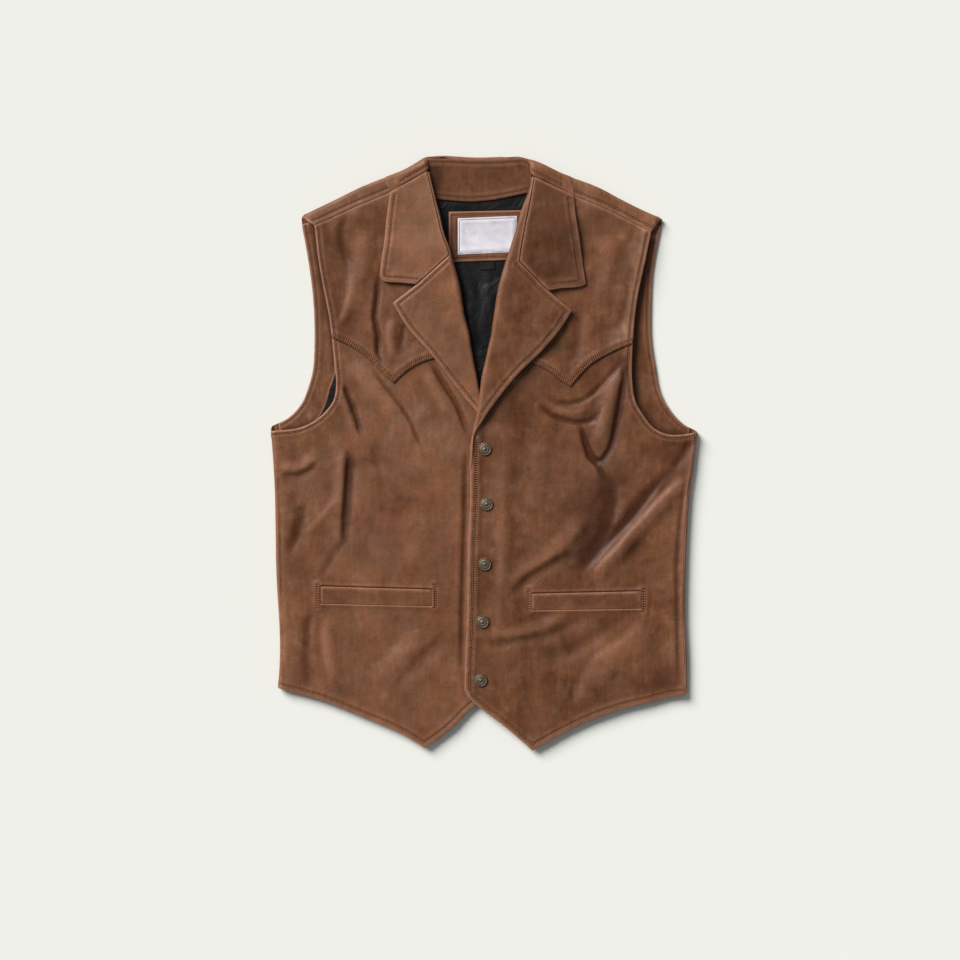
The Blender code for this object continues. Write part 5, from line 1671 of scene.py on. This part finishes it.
def leather_look():
    """Waxed brown cowhide, blotched in several sizes: lighter on ridges, painted shade in troughs and slits,
    painted light and shade in patches, a painted highlight along its edges, and dark along its sewn rows.
    """
    look = Look("waxed_leather", 0.5, Specular_IOR_Level=0.28)
    colour = look.layered(
        look.ramp(look.weighed(BLOTCHES), LEATHER_TONES),
        (look.past(look.noise(38, 5, 1.2), 0.5, 5.0), 0.5, LEATHER_PINK),
        # Painted light where the tone is above 0, painted shade where it is below
        (look.attribute("tone", 1.0), 0.7, LEATHER_PAINTED_LIGHT),
        (look.attribute("tone", -1.0), 0.85, LEATHER_DARK_AND_SHADE),
    )
    colour = look.mixed(1.0, colour, look.ramp(look.weighed(HUES), LEATHER_HUES), "MULTIPLY")
    ridge_patches = look.calc("ADD", look.times(look.noise(4, 4, 0.5), 1.1), 0.1, clamp=True)
    edge_highlight_patches = look.calc("ADD", look.noise(7, 3), 0.25)
    colour = look.layered(
        colour,
        # Lighter on ridges and painted shade in troughs, a painted highlight along edges, dark sewn rows with
        # painted shade in slits and painted highlights on lips, and light and dark specks
        (look.attribute("ridge_wear_and_trough_shade", 1.0), look.times(ridge_patches, 0.5), LEATHER_WEAR_AND_HIGHLIGHT),
        (look.attribute("ridge_wear_and_trough_shade", -TROUGH_SHADE_SCALE), 0.32, LEATHER_DARK_AND_SHADE),
        (look.times(look.attribute("edge", 1.0), edge_highlight_patches), 0.8, LEATHER_EDGE_HIGHLIGHT),
        (look.attribute("sewn", 0.62), 1.0, LEATHER_DARK_AND_SHADE),
        (look.attribute("sewn", -1.0), 0.7, LEATHER_WEAR_AND_HIGHLIGHT),
        (look.past(look.noise(2.2, 3), 0.56, 6.0), 0.1, LEATHER_WEAR_AND_HIGHLIGHT),
        (look.past(look.noise(2.6, 3), 0.44, -6.0), 0.3, LEATHER_DARK_AND_SHADE),
    )
    grain = look.add("ShaderNodeTexVoronoi", Vector=look.place, Scale=1 / (GRAIN * MM)).outputs["Distance"]
    roughness = look.calc("ADD", look.times(look.noise(24, 4, 0.5), 0.24), 0.42)
    bumps = (
        (look.noise(17, 4, 1.0), 0.3, 1.6), (look.noise(5, 4, 0.6), 0.3, 0.5), (grain, 0.25, 0.16),
        (look.noise(0.6, 2), 0.2, 0.1),
    )
    return look.finish(colour, bumps, roughness)


def lining_look():
    """Black woven lining with a slight shine."""
    look = Look("black_lining", 0.5, Specular_IOR_Level=0.2)
    weave = look.weave(*LINING_WEAVE)
    colour = look.layered(look.ramp(look.noise(18, 3), LINING_TONES), (weave, 0.3, LINING_THREAD))
    bumps = ((weave, 0.3, 0.1), (look.noise(5, 3), 0.15, 0.5), (look.noise(34, 4, 2.0), 0.6, 5.0))
    return look.finish(colour, bumps)


def label_look():
    """White woven label cloth."""
    look = Look("label_cloth", 0.75, Sheen_Weight=0.15)
    weave = look.weave(*LABEL_WEAVE)
    colour = look.layered(look.ramp(look.noise(9, 3), LABEL_TONES), (weave, 0.25, LABEL_THREAD))
    return look.finish(colour, ((weave, 0.35, 0.12), (look.noise(7, 2), 0.2, 0.5)))


def thread_look(name, dark, light, hole_shade):
    """Spun sewing thread, and the painted shade of the holes beside it."""
    look = Look(name, 0.75, Specular_IOR_Level=0.08)
    colour = look.ramp(look.noise(0.5, 2), ((0.35, dark), (0.65, light)))
    # The holes' discs take the painted shade colour
    colour = look.mixed(look.attribute("hole_shade", 1.0), colour, hole_shade)
    return look.finish(colour, ((look.noise(0.3, 2), 0.3, 0.05),))


def brass_look():
    """Antique brass, blotched darker and brighter at random."""
    look = Look("antique_brass", 0.5, Metallic=1.0)
    colour = look.ramp(look.noise(1.6, 4, 0.5), BRASS_TONES)
    roughness = look.calc("ADD", look.times(look.noise(1.2, 3), 0.25), 0.48)
    return look.finish(colour, ((look.noise(0.7, 3), 0.2, 0.06),), roughness)


def linked(name, data):
    """An object in the scene."""
    made = bpy.data.objects.new(name, data)
    bpy.context.scene.collection.objects.link(made)
    return made


def build_stage():
    """A pale floor, a soft key light from the top left, fill light, and the camera straight above."""
    floor_mesh = bpy.data.meshes.new("floor")
    corners = [(x * FLOOR_HALF, y * FLOOR_HALF, 0) for x, y in ((-1, -1), (1, -1), (1, 1), (-1, 1))]
    floor_mesh.from_pydata(corners, [], [(0, 1, 2, 3)])
    look = Look("pale_floor", 0.95, Specular_IOR_Level=0.0, Base_Color=(*FLOOR_COLOUR, 1.0))
    floor_mesh.materials.append(look.material)
    floor = linked("floor", floor_mesh)
    floor.location.z = FLOOR_LEVEL * MM
    world = bpy.data.worlds.new("soft_room")
    world.use_nodes = True
    background = world.node_tree.nodes["Background"]
    background.inputs["Color"].default_value = (*SKY_COLOUR, 1.0)
    background.inputs["Strength"].default_value = SKY_STRENGTH
    bpy.context.scene.world = world
    sun = bpy.data.lights.new("key", "SUN")
    sun.energy = KEY_STRENGTH
    sun.angle = math.radians(KEY_SPREAD)
    sun.color = KEY_COLOUR
    elevation = math.radians(KEY_ELEVATION)
    azimuth = math.radians(KEY_AZIMUTH)
    away = Vector((math.cos(elevation) * math.cos(azimuth), math.cos(elevation) * math.sin(azimuth),
                   math.sin(elevation)))
    linked("key", sun).rotation_euler = away.to_track_quat("Z", "Y").to_euler()
    camera_data = bpy.data.cameras.new("camera")
    camera_data.sensor_width = SENSOR
    camera_data.lens = SENSOR * (CAMERA_HEIGHT - VEST_LEVEL) / FRAME_WIDTH
    camera_data.clip_end = 50
    camera = linked("camera", camera_data)
    camera.location = [value * MM for value in (*FRAME_MIDDLE, CAMERA_HEIGHT)]
    bpy.context.scene.camera = camera
    bpy.context.scene.view_settings.view_transform = "Standard"


def main():
    """Build every piece, the floor, the lights and the camera."""
    finishes = {
        "leather": leather_look(),
        "lining": lining_look(),
        "label": label_look(),
        "snap": brass_look(),
        "thread": thread_look("brown_thread", *BROWN_THREAD, HOLE_SHADE_COLOUR),
        "label_thread": thread_look("white_thread", *WHITE_THREAD, LABEL_HOLE_SHADE_COLOUR),
    }
    build_stage()
    build_back(finishes)
    build_fronts(finishes)
    build_turned(finishes)
    build_snaps(finishes)


main()
